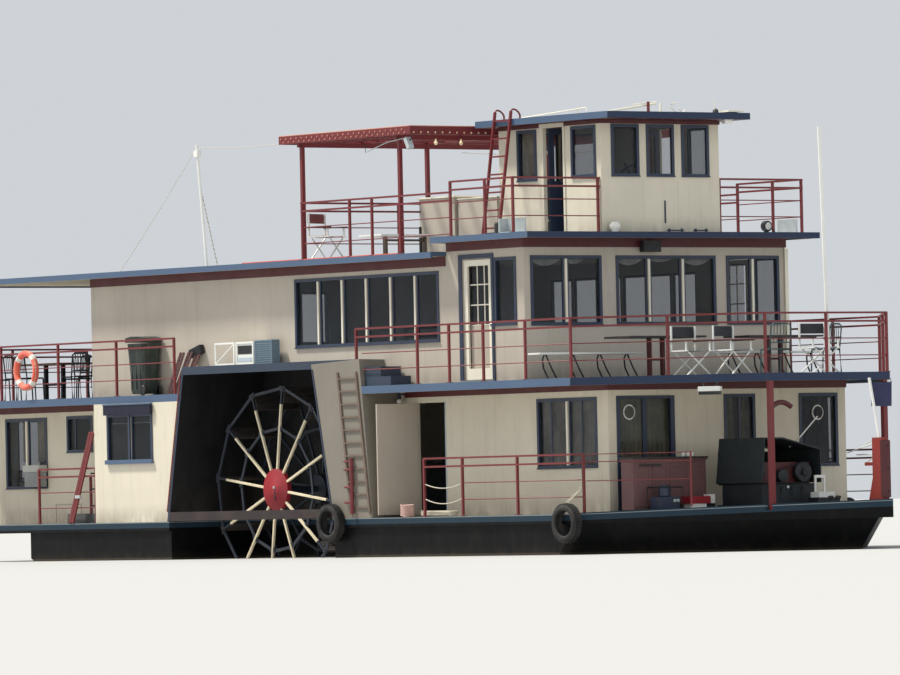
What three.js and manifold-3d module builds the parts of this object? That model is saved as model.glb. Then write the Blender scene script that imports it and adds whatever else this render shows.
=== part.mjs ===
// Side-wheel paddle steamer with two decks of cabins, a roof deck and a wheelhouse.
// Millimetres. +X to the bow, +Y to port, +Z up. The origin is on the centreline, at the
// waterline, below the axis of the paddle wheels.
import * as THREE from "three";
import { mergeVertices } from "three/addons/utils/BufferGeometryUtils.js";
import Module from "manifold-3d";

const wasm = await Module();
wasm.setup();

const DEGREES = Math.PI / 180;

// Seats and fits
const GAP = 0.25;
const RUNNING_GAP = 8;

// Plan of the decks
const HALF_BEAM = 3600;
const SHOULDER_X = 9850;
const STEM_X = 14350;
const MAIN_DECK_AFT_X = -10400;
const UPPER_DECK_AFT_X = -10600;
const UPPER_DECK_FRONT_X = 12660;
const UPPER_DECK_FRONT_HALF = 1410;

// Levels above the water
const DECK_TOP = 720;
const DECK_THICK = 170;
const UPPER_TOP = 3130;
const AFT_ROOF_TOP = 5520;
const FORWARD_ROOF_TOP = 5780;
const WHEELHOUSE_ROOF_TOP = 7940;
const PLATE = 80;
const FASCIA_DEPTH = 140;
const FASCIA_THICK = 60;

// Hull below the main deck
const HULL_HALF_BEAM = 3550;
const HULL_AFT_X = -7400;
const HULL_STEM_X = 13950;
const STEM_RAKE = 0.9;
const BILGE_Z = -420;
const BOTTOM_Z = -640;
const KEEL_Z = -760;
const KEEL_HALF = 60;

// Walls
const WALL = 60;
const MAIN_CABIN_HALF = 2730;
const MAIN_CABIN_FRONT_X = 9810;
const MAIN_CABIN_AFT_X = -9700;
const UPPER_CABIN_HALF = 3020;
const UPPER_CABIN_FRONT_X = 7820;
const UPPER_CABIN_AFT_X = -5940;
const SIDE_CABIN_AFT_X = -5070;
const WHEELHOUSE_HALF = 1364;
const WHEELHOUSE_FRONT_X = 8010;
const WHEELHOUSE_AFT_X = 4980;

// Roofs
const ROOF_HALF = 3380;
const ROOF_FRONT_X = 8410;
const ROOF_STEP_X = 5510;
const ROOF_TONGUE_X = 4840;
const ROOF_TONGUE_HALF = 1480;
const AFT_ROOF_AFT_X = -10500;
const ROOF_FASCIA = 110;
const WHEELHOUSE_ROOF_FRONT_X = 8590;
const WHEELHOUSE_ROOF_AFT_X = 4650;
const WHEELHOUSE_ROOF_HALF = 1650;
const WHEELHOUSE_ROOF_THICK = 120;

// Paddle wheels and their boxes
const SHAFT_Z = 1280;
const WHEEL_RADIUS = 1955;
const INNER_RING_RADIUS = 1200;
const WHEEL_OUTER_Y = 2980;
const WHEEL_INNER_Y = 1900;
const SPOKES = 12;
const HUB_RADIUS = 390;
const WHEEL_TURN = 7.5 * DEGREES;
const SHAFT_RADIUS = 60;
const WELL_INNER_Y = 1700;
const BOX_FOOT_HALF = 2630;
const BOX_TOP_HALF = 2040;
const BOX_TOP = 3630;
const LOCKER_FOOT_X = 3870;
const LOCKER_TOP_X = 3550;
const BOX_FASCIA = 150;

// Railings
const RAIL_HEIGHT = 1070;
const SECOND_RAIL = 920;
const POST = 42;
const RAIL_INSET = 45;
const POST_SPACING = 1950;
const FORWARD_POSTS_X = [3420, 5290, 6250, 7270, 8510];
const AFT_POSTS_X = [-2410, -4340, -6320, -8300];
const MAIN_POSTS_X = [5420, 6570, 8200];
const MAIN_RAIL_END = [9940, -3410];
const ROOF_POSTS_X = [1510, 3000, 3690, 4560];
const HOUSE_POSTS_X = [6090, 7120];
const HOUSE_RAIL_X = 7950;

// Colours and finishes
const paint = (color, roughness = 0.6, metalness = 0) =>
  new THREE.MeshStandardMaterial({ color, roughness, metalness });
const CREAM = paint(0xd9cfb4);
const STEEL_BLUE = paint(0x40526b);
const MAROON = paint(0x6b2427);
const HULL_BLACK = paint(0x17181b, 0.5);
const WHEEL_BLUE = paint(0x2c3644, 0.55);
const WHITE = paint(0xe6e6e2);
const RUBBER = paint(0x17181a, 0.85);
const BIN_GREEN = paint(0x2b332f, 0.5);
const BUOY_RED = paint(0xd94a3f, 0.55);
const UMBER = paint(0x3a2622, 0.75);
const ROOF_GREY = paint(0xa9adb0, 0.7);
const ENGINE_GREY = paint(0x4e5356, 0.5, 0.4);

// Solids and booleans

function solid(geometry) {
  const bare = geometry.index ? geometry.toNonIndexed() : geometry.clone();
  bare.deleteAttribute("normal");
  bare.deleteAttribute("uv");
  const merged = mergeVertices(bare, 1e-3);
  return new wasm.Manifold(
    new wasm.Mesh({
      numProp: 3,
      vertProperties: merged.attributes.position.array,
      triVerts: new Uint32Array(merged.index.array),
    }),
  );
}

function geometryOf(body) {
  const mesh = body.getMesh();
  const geometry = new THREE.BufferGeometry();
  geometry.setAttribute("position", new THREE.BufferAttribute(mesh.vertProperties, 3));
  geometry.setIndex(new THREE.BufferAttribute(mesh.triVerts, 1));
  geometry.computeVertexNormals();
  return geometry;
}

function joined(...pieces) {
  return geometryOf(pieces.flat().map(solid).reduce((whole, piece) => whole.add(piece)));
}

function cut(base, ...tools) {
  return geometryOf(tools.flat().map(solid).reduce((rest, tool) => rest.subtract(tool), solid(base)));
}

function common(...pieces) {
  return geometryOf(pieces.map(solid).reduce((whole, piece) => whole.intersect(piece)));
}

// Basic shapes

function box(x0, x1, y0, y1, z0, z1) {
  const geometry = new THREE.BoxGeometry(x1 - x0, y1 - y0, z1 - z0);
  return geometry.translate((x0 + x1) / 2, (y0 + y1) / 2, (z0 + z1) / 2);
}

// A plate with rectangular holes, in its own plane: points are (u, v), holes are (u0, u1, v0, v1).
function extruded(points, holes, depth) {
  const shape = new THREE.Shape(points.map(([u, v]) => new THREE.Vector2(u, v)));
  const plate = new THREE.ExtrudeGeometry(shape, { depth, bevelEnabled: false });
  if (holes.length === 0) return plate;
  return cut(plate, holes.map(([u0, u1, v0, v1]) => box(u0, u1, v0, v1, -10, depth + 10)));
}

// A plate seen from above, from z0 up to z1.
function plateXY(points, z0, z1) {
  return extruded(points, [], z1 - z0).translate(0, 0, z0);
}

// A plate seen from the side: points are (x, z), its faces at y0 and y1.
function plateXZ(points, y0, y1, holes = []) {
  const turn = new THREE.Matrix4().set(1, 0, 0, 0, 0, 0, -1, y1, 0, 1, 0, 0, 0, 0, 0, 1);
  return extruded(points, holes, y1 - y0).applyMatrix4(turn);
}

// A plate seen from the bow or stern: points are (y, z), its faces at x0 and x1.
function plateYZ(points, x0, x1, holes = []) {
  const turn = new THREE.Matrix4().set(0, 0, 1, x0, 1, 0, 0, 0, 0, 1, 0, 0, 0, 0, 0, 1);
  return extruded(points, holes, x1 - x0).applyMatrix4(turn);
}

function rectangle(u0, u1, v0, v1) {
  return [[u0, v0], [u1, v0], [u1, v1], [u0, v1]];
}

// A straight member between two points, turned so that its width lies level.
function placeAlong(geometry, from, to) {
  const start = new THREE.Vector3(...from);
  const along = new THREE.Vector3(...to).sub(start).normalize();
  const up = Math.abs(along.z) > 0.999 ? new THREE.Vector3(1, 0, 0) : new THREE.Vector3(0, 0, 1);
  const level = new THREE.Vector3().crossVectors(up, along).normalize();
  const third = new THREE.Vector3().crossVectors(along, level);
  const turn = new THREE.Matrix4().makeBasis(level, third, along).setPosition(start);
  return geometry.applyMatrix4(turn);
}

function distance(from, to) {
  return new THREE.Vector3(...from).distanceTo(new THREE.Vector3(...to));
}

function bar(from, to, width, height = width) {
  const length = distance(from, to);
  const geometry = new THREE.BoxGeometry(width, height, length).translate(0, 0, length / 2);
  return placeAlong(geometry, from, to);
}

function rod(from, to, radius, sides = 8) {
  const length = distance(from, to);
  const geometry = new THREE.CylinderGeometry(radius, radius, length, sides)
    .rotateX(Math.PI / 2)
    .translate(0, 0, length / 2);
  return placeAlong(geometry, from, to);
}

// A leaning pole whose lower end is cut level at its foot.
function leaningPole(foot, head, radius, sides) {
  const [x, y, z] = foot;
  const lean = new THREE.Vector3(...head).sub(new THREE.Vector3(...foot)).normalize().multiplyScalar(-60);
  const below = [x + lean.x, y + lean.y, z + lean.z];
  return cut(rod(below, head, radius, sides), box(x - 200, x + 200, y - 200, y + 200, z - 200, z));
}

// A disc or drum whose axis runs athwartships, with its faces at y0 and y1.
function drumY(x, z, radius, y0, y1, sides) {
  return new THREE.CylinderGeometry(radius, radius, y1 - y0, sides).translate(x, (y0 + y1) / 2, z);
}

// A ladder whose foot and head are the two ends of its centreline.
function ladder(foot, head, width, across, rungs) {
  const shift = ([x, y, z], by) => [x + across[0] * by, y + across[1] * by, z];
  const sides = [-width / 2, width / 2].map((by) => bar(shift(foot, by), shift(head, by), 36, 50));
  const steps = Array.from({ length: rungs }, (_, i) => {
    const at = foot.map((value, axis) => value + ((head[axis] - value) * (i + 0.5)) / rungs);
    return bar(shift(at, -width / 2), shift(at, width / 2), 30);
  });
  return joined(sides, steps);
}

// The scene graph

const steamer = new THREE.Group();

function add(name, geometry, material, parent = steamer) {
  const mesh = new THREE.Mesh(geometry, material);
  mesh.name = name;
  parent.add(mesh);
  return mesh;
}

// Adds the starboard piece, and its mirror image to port.
function addPair(name, geometry, material) {
  add(name + "_starboard", geometry, material);
  add(name + "_port", geometry, material).scale.y = -1;
}

// Deck outlines

function bowOutline(aftX, half, shoulderX, frontX, frontHalf) {
  const front = frontHalf > 0 ? [[frontX, -frontHalf], [frontX, frontHalf]] : [[frontX, 0]];
  return [[aftX, -half], [shoulderX, -half], ...front, [shoulderX, half], [aftX, half]];
}

// Moves each edge of a convex outline inwards by the same distance.
function inset(points, by) {
  const count = points.length;
  const edges = points.map(([x, y], i) => {
    const [nextX, nextY] = points[(i + 1) % count];
    const length = Math.hypot(nextX - x, nextY - y);
    const normal = [-(nextY - y) / length, (nextX - x) / length];
    return { normal, offset: normal[0] * x + normal[1] * y + by };
  });
  return edges.map((edge, i) => {
    const before = edges[(i + count - 1) % count];
    const [a, b] = before.normal;
    const [c, d] = edge.normal;
    const scale = a * d - b * c;
    return [(before.offset * d - b * edge.offset) / scale, (a * edge.offset - before.offset * c) / scale];
  });
}

// A deck or roof plate with a fascia that hangs from its edge.
function fasciaDeck(outline, top, fasciaDepth, plate = PLATE) {
  const rimTop = top - plate / 2;
  const rim = cut(
    plateXY(outline, top - fasciaDepth, rimTop),
    plateXY(inset(outline, FASCIA_THICK), top - fasciaDepth - 10, top + 10),
  );
  return joined(plateXY(outline, top - plate, top), rim);
}

// Paddle box outline: a trapezoid, with the locker in front of it

const boxSlope = (BOX_FOOT_HALF - BOX_TOP_HALF) / (BOX_TOP - DECK_TOP);
const boxHalf = (z) => BOX_FOOT_HALF - boxSlope * (z - DECK_TOP);

function boxEnvelope(grow, z0 = DECK_TOP + GAP, z1 = BOX_TOP) {
  const lockerSlope = (LOCKER_FOOT_X - LOCKER_TOP_X) / (BOX_TOP - DECK_TOP);
  const lockerX = (z) => LOCKER_FOOT_X - lockerSlope * (z - DECK_TOP);
  return [
    [-boxHalf(z0) - WALL - grow, z0],
    [lockerX(z0) + grow, z0],
    [lockerX(z1 + grow) + grow, z1 + grow],
    [-boxHalf(z1 + grow) - WALL - grow, z1 + grow],
  ];
}

// The space that a paddle box takes, a little larger, for the pieces that it passes through.
function boxSpace(side) {
  const inner = side * (WELL_INNER_Y - WALL - GAP);
  const outer = side * (HALF_BEAM + 100);
  const low = DECK_TOP - 200;
  return plateXZ(boxEnvelope(GAP, low), Math.min(inner, outer), Math.max(inner, outer));
}

// Hull: the plan leans aft with depth, and is trimmed to its section and side profile

function hull() {
  const top = DECK_TOP - DECK_THICK - GAP;
  const plan = bowOutline(HULL_AFT_X - 1500, HULL_HALF_BEAM, SHOULDER_X, HULL_STEM_X, 0);
  const lean = new THREE.Matrix4().set(1, 0, STEM_RAKE, -STEM_RAKE * top, 0, 1, 0, 0, 0, 0, 1, 0, 0, 0, 0, 1);
  const planSolid = plateXY(plan, KEEL_Z, top).applyMatrix4(lean);
  const section = [
    [-HULL_HALF_BEAM, top], [-HULL_HALF_BEAM, BILGE_Z], [-KEEL_HALF, BOTTOM_Z], [-KEEL_HALF, KEEL_Z],
    [KEEL_HALF, KEEL_Z], [KEEL_HALF, BOTTOM_Z], [HULL_HALF_BEAM, BILGE_Z], [HULL_HALF_BEAM, top],
  ];
  const profile = [
    [HULL_AFT_X, top], [HULL_AFT_X, 60], [HULL_AFT_X + 1700, KEEL_Z], [STEM_X, KEEL_Z], [STEM_X, top],
  ];
  const body = common(
    planSolid,
    plateYZ(section, HULL_AFT_X - 100, STEM_X + 100),
    plateXZ(profile, -HALF_BEAM, HALF_BEAM),
  );
  const wells = [-1, 1].map((side) => {
    const [y0, y1] = [side * WELL_INNER_Y, side * (HALF_BEAM + 200)];
    return box(-BOX_FOOT_HALF, BOX_FOOT_HALF, Math.min(y0, y1), Math.max(y0, y1), KEEL_Z - 50, top + 50);
  });
  return cut(body, wells);
}

// The low edge that rises along the bow, from its start at the shoulders to the stem.
const TOE = { thick: 60, start: 20, stem: 155, root: 40 };
const CORNER_POST = { aft: UPPER_DECK_FRONT_X - 95, front: UPPER_DECK_FRONT_X - 5, inner: 1255, outer: 1345 };

function toeRail(outline) {
  const { thick, start, stem, root } = TOE;
  const rim = cut(
    plateXY(outline, DECK_TOP - root, DECK_TOP + stem),
    plateXY(inset(outline, thick), DECK_TOP - root - 10, DECK_TOP + stem + 10),
  );
  const side = [
    [SHOULDER_X, DECK_TOP - root], [STEM_X + 10, DECK_TOP - root],
    [STEM_X + 10, DECK_TOP + stem], [SHOULDER_X, DECK_TOP + start],
  ];
  const posts = [-1, 1].map((way) => {
    const [y0, y1] = [way * (CORNER_POST.inner - 10), way * (CORNER_POST.outer + 90)];
    return box(
      CORNER_POST.aft - 10, CORNER_POST.front + 10, Math.min(y0, y1), Math.max(y0, y1),
      DECK_TOP, DECK_TOP + stem + 10,
    );
  });
  return cut(common(rim, plateXZ(side, -HALF_BEAM - 10, HALF_BEAM + 10)), posts);
}

function mainDeck() {
  const outline = bowOutline(MAIN_DECK_AFT_X, HALF_BEAM, SHOULDER_X, STEM_X, 0);
  const wells = [-1, 1].map((side) => {
    const [y0, y1] = [side * WELL_INNER_Y, side * (HALF_BEAM + 50)];
    return box(-BOX_FOOT_HALF, BOX_FOOT_HALF, Math.min(y0, y1), Math.max(y0, y1), 0, DECK_TOP + 50);
  });
  return joined(cut(plateXY(outline, DECK_TOP - DECK_THICK, DECK_TOP), wells), toeRail(outline));
}

add("hull", hull(), HULL_BLACK);
add("main_deck", mainDeck(), STEEL_BLUE);

// Paddle boxes: open outboard and below, with a solid locker in front of each

const BEARING_HOLE = SHAFT_RADIUS + RUNNING_GAP;

function paddleBox() {
  const low = DECK_TOP + GAP;
  const whole = plateXZ(boxEnvelope(0), -HALF_BEAM, -WELL_INNER_Y + WALL);
  const inside = plateXZ(
    [
      [-boxHalf(low - 20), low - 20],
      [boxHalf(low - 20), low - 20],
      [boxHalf(BOX_TOP - WALL), BOX_TOP - WALL],
      [-boxHalf(BOX_TOP - WALL), BOX_TOP - WALL],
    ],
    -HALF_BEAM - 50,
    -WELL_INNER_Y,
  );
  const behindLocker = plateXZ(
    [
      [boxHalf(low - 20) + WALL, low - 20],
      [LOCKER_FOOT_X + 100, low - 20],
      [LOCKER_FOOT_X + 100, BOX_TOP - WALL],
      [boxHalf(BOX_TOP - WALL) + WALL, BOX_TOP - WALL],
    ],
    -MAIN_CABIN_HALF + WALL,
    -WELL_INNER_Y + WALL + 50,
  );
  const bearing = drumY(0, SHAFT_Z, BEARING_HOLE, -WELL_INNER_Y - 50, -WELL_INNER_Y + WALL + 50, 16);
  const fascia = box(
    -boxHalf(BOX_TOP) - 20, boxHalf(BOX_TOP) + 20,
    -HALF_BEAM, -HALF_BEAM + WALL,
    BOX_TOP - BOX_FASCIA, BOX_TOP - WALL / 2,
  );
  const ladderY = -HALF_BEAM - 12;
  const climb = ladder([3530, ladderY, DECK_TOP + 80], [3180, ladderY, 3400], 570, [1, 0], 11);
  return joined(cut(whole, inside, behindLocker, bearing), fascia, guardBeam(), climb);
}

// The beam that crosses the open side of the box outboard of the wheel.
function guardBeam() {
  const [bottom, top] = [730, 900];
  const outline = [
    [-boxHalf(bottom) - 10, bottom], [boxHalf(bottom) + 10, bottom],
    [boxHalf(top) + 10, top], [-boxHalf(top) - 10, top],
  ];
  return plateXZ(outline, -HALF_BEAM, -HALF_BEAM + 130);
}

addPair("paddle_box", paddleBox(), CREAM);

// Paddle wheel: two spoked frames with floats between them, on a hub and a stub shaft

const FRAME_THICK = 60;
const RING_WIDTH = 80;
const SPOKE_WIDTH = 70;
const FLOAT_LENGTH = 330;
const FLOAT_THICK = 50;
const DRIVE_HALF = 750;

function wheelFrame(y0, y1) {
  const ring = (radius) => {
    const turned = (r, grow) => drumY(0, 0, r, y0 - grow, y1 + grow, SPOKES);
    return cut(turned(radius, 0), turned(radius - RING_WIDTH, 10));
  };
  const spokes = Array.from({ length: SPOKES / 2 }, (_, i) =>
    box(-WHEEL_RADIUS + 20, WHEEL_RADIUS - 20, y0, y1, -SPOKE_WIDTH / 2, SPOKE_WIDTH / 2)
      .rotateY((i * 2 * Math.PI) / SPOKES + Math.PI / 2),
  );
  return joined(ring(WHEEL_RADIUS), ring(INNER_RING_RADIUS), spokes);
}

function paddleWheel() {
  const outer = wheelFrame(-WHEEL_OUTER_Y, -WHEEL_OUTER_Y + FRAME_THICK);
  const inner = wheelFrame(-WHEEL_INNER_Y - FRAME_THICK, -WHEEL_INNER_Y);
  const floats = Array.from({ length: SPOKES }, (_, i) =>
    box(
      -FLOAT_THICK / 2, FLOAT_THICK / 2,
      -WHEEL_OUTER_Y + FRAME_THICK / 2, -WHEEL_INNER_Y - FRAME_THICK / 2,
      WHEEL_RADIUS - FLOAT_LENGTH, WHEEL_RADIUS - 30,
    ).rotateY((i * 2 * Math.PI) / SPOKES),
  );
  const hub = drumY(0, 0, HUB_RADIUS, -WHEEL_OUTER_Y - 40, -WHEEL_OUTER_Y + FRAME_THICK + 20, 24);
  const innerHub = drumY(0, 0, HUB_RADIUS * 0.7, -WHEEL_INNER_Y - FRAME_THICK - 20, -WHEEL_INNER_Y + 20, 16);
  const shaft = drumY(0, 0, SHAFT_RADIUS, -WHEEL_OUTER_Y - 90, -DRIVE_HALF - GAP, 12);
  return joined(outer, inner, floats, hub, innerHub, shaft);
}

const wheelGeometry = paddleWheel();
for (const side of [-1, 1]) {
  const wheel = add(side < 0 ? "paddle_wheel_starboard" : "paddle_wheel_port", wheelGeometry, WHEEL_BLUE);
  wheel.position.z = SHAFT_Z;
  wheel.rotation.y = WHEEL_TURN;
  if (side > 0) wheel.scale.y = -1;
}

add("engine", box(-950, 950, -DRIVE_HALF, DRIVE_HALF, DECK_TOP + GAP, 1750), ENGINE_GREY);

// Cabin walls. Openings are tables of windows and doors: from, to (along the wall), sill, head.

const MULLION = 60;

// Splits a window into panes side by side, with mullions between them.
function panes({ from, to, sill, head, count = 1 }) {
  const width = (to - from - MULLION * (count - 1)) / count;
  return Array.from({ length: count }, (_, i) => {
    const start = from + i * (width + MULLION);
    return [start, start + width, sill, head];
  });
}

const MAIN_DOOR = { from: 4140, to: 4990, sill: DECK_TOP + 40, head: 2800 };
const MAIN_SIDE_WINDOW = { from: 7750, to: 9480, sill: 1540, head: 2780, count: 2 };
const MAIN_AFT_WINDOWS = [
  { from: -9410, to: -7980, sill: 1420, head: 2780, count: 2 },
  { from: -7270, to: -6400, sill: 2100, head: 2790 },
];
const SIDE_CABIN_WINDOW = { from: -4620, to: -3120, sill: 1860, head: 2780, count: 2 };
const FRONT_SLIDING_OPENING = { from: -2520, to: -1260, sill: DECK_TOP + 40, head: 2800 };
const MAIN_FRONT_WINDOWS = [
  { from: -90, to: 610, sill: 1500, head: 2800 },
  { from: 1650, to: 2530, sill: 1500, head: 2800 },
];
const STERN_DOOR = { from: -425, to: 425, sill: DECK_TOP + 40, head: 2800 };
const STERN_WINDOWS = [
  { from: -2300, to: -1100, sill: 1540, head: 2780, count: 2 },
  { from: 1100, to: 2300, sill: 1540, head: 2780, count: 2 },
];
const SALOON_WINDOW = { from: 800, to: 5260, sill: 3900, head: 5170, count: 6 };
const UPPER_DOOR = { from: 5990, to: 6850, sill: UPPER_TOP + 40, head: 5350 };
const NARROW_WINDOW = { from: 6950, to: 7580, sill: 4140, head: 5350 };
const UPPER_FRONT_WINDOWS = [
  { from: -2870, to: -1270, sill: 4120, head: 5360, count: 2 },
  { from: -920, to: 1370, sill: 4120, head: 5360, count: 3 },
  { from: 1640, to: 2860, sill: 4120, head: 5360, count: 2 },
];
const UPPER_AFT_DOORWAY = { from: -700, to: 700, sill: UPPER_TOP + 40, head: 5200 };
const UPPER_AFT_WINDOWS = [
  { from: -2600, to: -1200, sill: 4140, head: 5170, count: 2 },
  { from: 1200, to: 2600, sill: 4140, head: 5170, count: 2 },
];
const WHEELHOUSE_DOOR = { from: 6330, to: 6900, sill: FORWARD_ROOF_TOP + 40, head: 7740 };
const WHEELHOUSE_SIDE_WINDOWS = [
  { from: 5540, to: 6110, sill: 6800, head: 7720 },
  { from: 7150, to: 7860, sill: 6800, head: 7720 },
];
const WHEELHOUSE_FRONT_WINDOWS = [
  { from: -1120, to: -500, sill: 6800, head: 7730 },
  { from: -310, to: 310, sill: 6800, head: 7730 },
  { from: 500, to: 1120, sill: 6800, head: 7730 },
];
const WHEELHOUSE_AFT_WINDOW = { from: -900, to: 900, sill: 6800, head: 7720, count: 2 };

const mainFoot = DECK_TOP + GAP;
const mainHead = UPPER_TOP - PLATE - GAP;
const upperFoot = UPPER_TOP + GAP;
const aftHead = AFT_ROOF_TOP - PLATE - GAP;
const forwardHead = FORWARD_ROOF_TOP - PLATE - GAP;
const houseFoot = FORWARD_ROOF_TOP + GAP;
const houseHead = WHEELHOUSE_ROOF_TOP - WHEELHOUSE_ROOF_THICK - GAP;

const holesOf = (...windows) => windows.flat().flatMap(panes);

// The brackets that carry a door leaf: small blocks on the wall, one under each knuckle.
const HINGE_OFFSET = 15;
const KNUCKLE_RADIUS = 10;
const KNUCKLE_TALL = 90;
const BRACKET_TALL = 40;
const HINGE_HEIGHTS = [300, 1550];

// Brackets of a leaf hinged at the start of its opening. "face" is the wall's face on the
// side that the leaf opens to, and "out" is +1 or -1, the way that face looks.
function brackets(door, face, out, floor) {
  return HINGE_HEIGHTS.map((height) => {
    const top = floor + height - GAP;
    const outer = face + out * (HINGE_OFFSET + KNUCKLE_RADIUS);
    const inner = face - out * 10;
    return [door.from - 12, door.from + 3, Math.min(inner, outer), Math.max(inner, outer), top - BRACKET_TALL, top];
  });
}

const bracketsXZ = (...args) => brackets(...args).map(([x0, x1, y0, y1, z0, z1]) => box(x0, x1, y0, y1, z0, z1));
const bracketsYZ = (...args) => brackets(...args).map(([y0, y1, x0, x1, z0, z1]) => box(x0, x1, y0, y1, z0, z1));

function mainSideForward() {
  const outline = rectangle(LOCKER_TOP_X, MAIN_CABIN_FRONT_X - WALL - GAP, mainFoot, mainHead);
  const holes = holesOf(MAIN_DOOR, MAIN_SIDE_WINDOW);
  const wall = plateXZ(outline, -MAIN_CABIN_HALF, -MAIN_CABIN_HALF + WALL, holes);
  return joined(cut(wall, boxSpace(-1)), bracketsXZ(MAIN_DOOR, -MAIN_CABIN_HALF, -1, DECK_TOP));
}

function mainSideAft() {
  const outline = rectangle(MAIN_CABIN_AFT_X + WALL + GAP, SIDE_CABIN_AFT_X + 10, mainFoot, mainHead);
  return plateXZ(outline, -MAIN_CABIN_HALF, -MAIN_CABIN_HALF + WALL, holesOf(MAIN_AFT_WINDOWS));
}

// The aft side wall, stepped out to the side cabin behind the paddle box.
function sideCabin() {
  const low = UPPER_TOP - FASCIA_DEPTH - GAP;
  const outline = [
    [SIDE_CABIN_AFT_X, mainFoot], [-boxHalf(mainFoot) - WALL - GAP, mainFoot],
    [-boxHalf(low) - WALL - GAP, low], [SIDE_CABIN_AFT_X, low],
  ];
  const face = plateXZ(outline, -HALF_BEAM, -HALF_BEAM + WALL, holesOf(SIDE_CABIN_WINDOW));
  const [outer, inner] = [-HALF_BEAM + WALL / 2, -MAIN_CABIN_HALF + WALL];
  const besideFascia = -HALF_BEAM + FASCIA_THICK + 10;
  const backOutline = [
    [outer, mainFoot], [inner, mainFoot], [inner, mainHead], [besideFascia, mainHead], [besideFascia, low], [outer, low],
  ];
  const back = plateYZ(backOutline, SIDE_CABIN_AFT_X, SIDE_CABIN_AFT_X + WALL);
  return joined(mainSideAft(), face, back);
}

function mainFront() {
  const outline = rectangle(-MAIN_CABIN_HALF, MAIN_CABIN_HALF, mainFoot, mainHead);
  const holes = holesOf(FRONT_SLIDING_OPENING, MAIN_FRONT_WINDOWS);
  return plateYZ(outline, MAIN_CABIN_FRONT_X - WALL, MAIN_CABIN_FRONT_X, holes);
}

function mainAft() {
  const outline = rectangle(-MAIN_CABIN_HALF, MAIN_CABIN_HALF, mainFoot, mainHead);
  const wall = plateYZ(outline, MAIN_CABIN_AFT_X, MAIN_CABIN_AFT_X + WALL, holesOf(STERN_DOOR, STERN_WINDOWS));
  return joined(wall, bracketsYZ(STERN_DOOR, MAIN_CABIN_AFT_X + WALL, 1, DECK_TOP));
}

addPair("main_side_forward", mainSideForward(), CREAM);
addPair("main_side_aft", sideCabin(), CREAM);
add("main_front", mainFront(), CREAM);
add("main_aft", mainAft(), CREAM);

// Upper deck and saloon

const upperOutline = bowOutline(
  UPPER_DECK_AFT_X, HALF_BEAM, SHOULDER_X, UPPER_DECK_FRONT_X, UPPER_DECK_FRONT_HALF,
);
add("upper_deck", cut(fasciaDeck(upperOutline, UPPER_TOP, FASCIA_DEPTH), boxSpace(-1), boxSpace(1)), STEEL_BLUE);

function upperSide() {
  const outline = [
    [UPPER_CABIN_AFT_X, upperFoot], [UPPER_CABIN_FRONT_X - WALL - GAP, upperFoot],
    [UPPER_CABIN_FRONT_X - WALL - GAP, forwardHead], [ROOF_STEP_X + GAP, forwardHead],
    [ROOF_STEP_X + GAP, aftHead], [UPPER_CABIN_AFT_X, aftHead],
  ];
  const holes = holesOf(SALOON_WINDOW, UPPER_DOOR, NARROW_WINDOW);
  const wall = plateXZ(outline, -UPPER_CABIN_HALF, -UPPER_CABIN_HALF + WALL, holes);
  const hinges = bracketsXZ(UPPER_DOOR, -UPPER_CABIN_HALF + WALL, 1, UPPER_TOP);
  return joined(cut(wall, boxSpace(-1)), hinges);
}

function upperFront() {
  const outline = rectangle(-UPPER_CABIN_HALF, UPPER_CABIN_HALF, upperFoot, forwardHead);
  return plateYZ(outline, UPPER_CABIN_FRONT_X - WALL, UPPER_CABIN_FRONT_X, holesOf(UPPER_FRONT_WINDOWS));
}

function upperAft() {
  const half = UPPER_CABIN_HALF - WALL - GAP;
  const outline = rectangle(-half, half, upperFoot, aftHead);
  const holes = holesOf(UPPER_AFT_DOORWAY, UPPER_AFT_WINDOWS);
  return plateYZ(outline, UPPER_CABIN_AFT_X, UPPER_CABIN_AFT_X + WALL, holes);
}

addPair("upper_side", upperSide(), CREAM);
add("upper_front", upperFront(), CREAM);
add("upper_aft", upperAft(), CREAM);

// Roofs: the forward roof is a step higher, with a tongue aft under the wheelhouse

function aftRoof() {
  const front = ROOF_STEP_X - GAP;
  const outline = rectangle(AFT_ROOF_AFT_X, front, -ROOF_HALF, ROOF_HALF);
  const tongue = box(
    ROOF_TONGUE_X - GAP, front + 50, -ROOF_TONGUE_HALF - GAP, ROOF_TONGUE_HALF + GAP,
    AFT_ROOF_TOP - ROOF_FASCIA - 50, AFT_ROOF_TOP + 50,
  );
  const inner = ROOF_HALF - FASCIA_THICK;
  const openFront = box(
    front - FASCIA_THICK - 10, front + 50, -inner, inner, AFT_ROOF_TOP - ROOF_FASCIA - 50, AFT_ROOF_TOP - PLATE,
  );
  return cut(fasciaDeck(outline, AFT_ROOF_TOP, ROOF_FASCIA), tongue, openFront);
}

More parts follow.
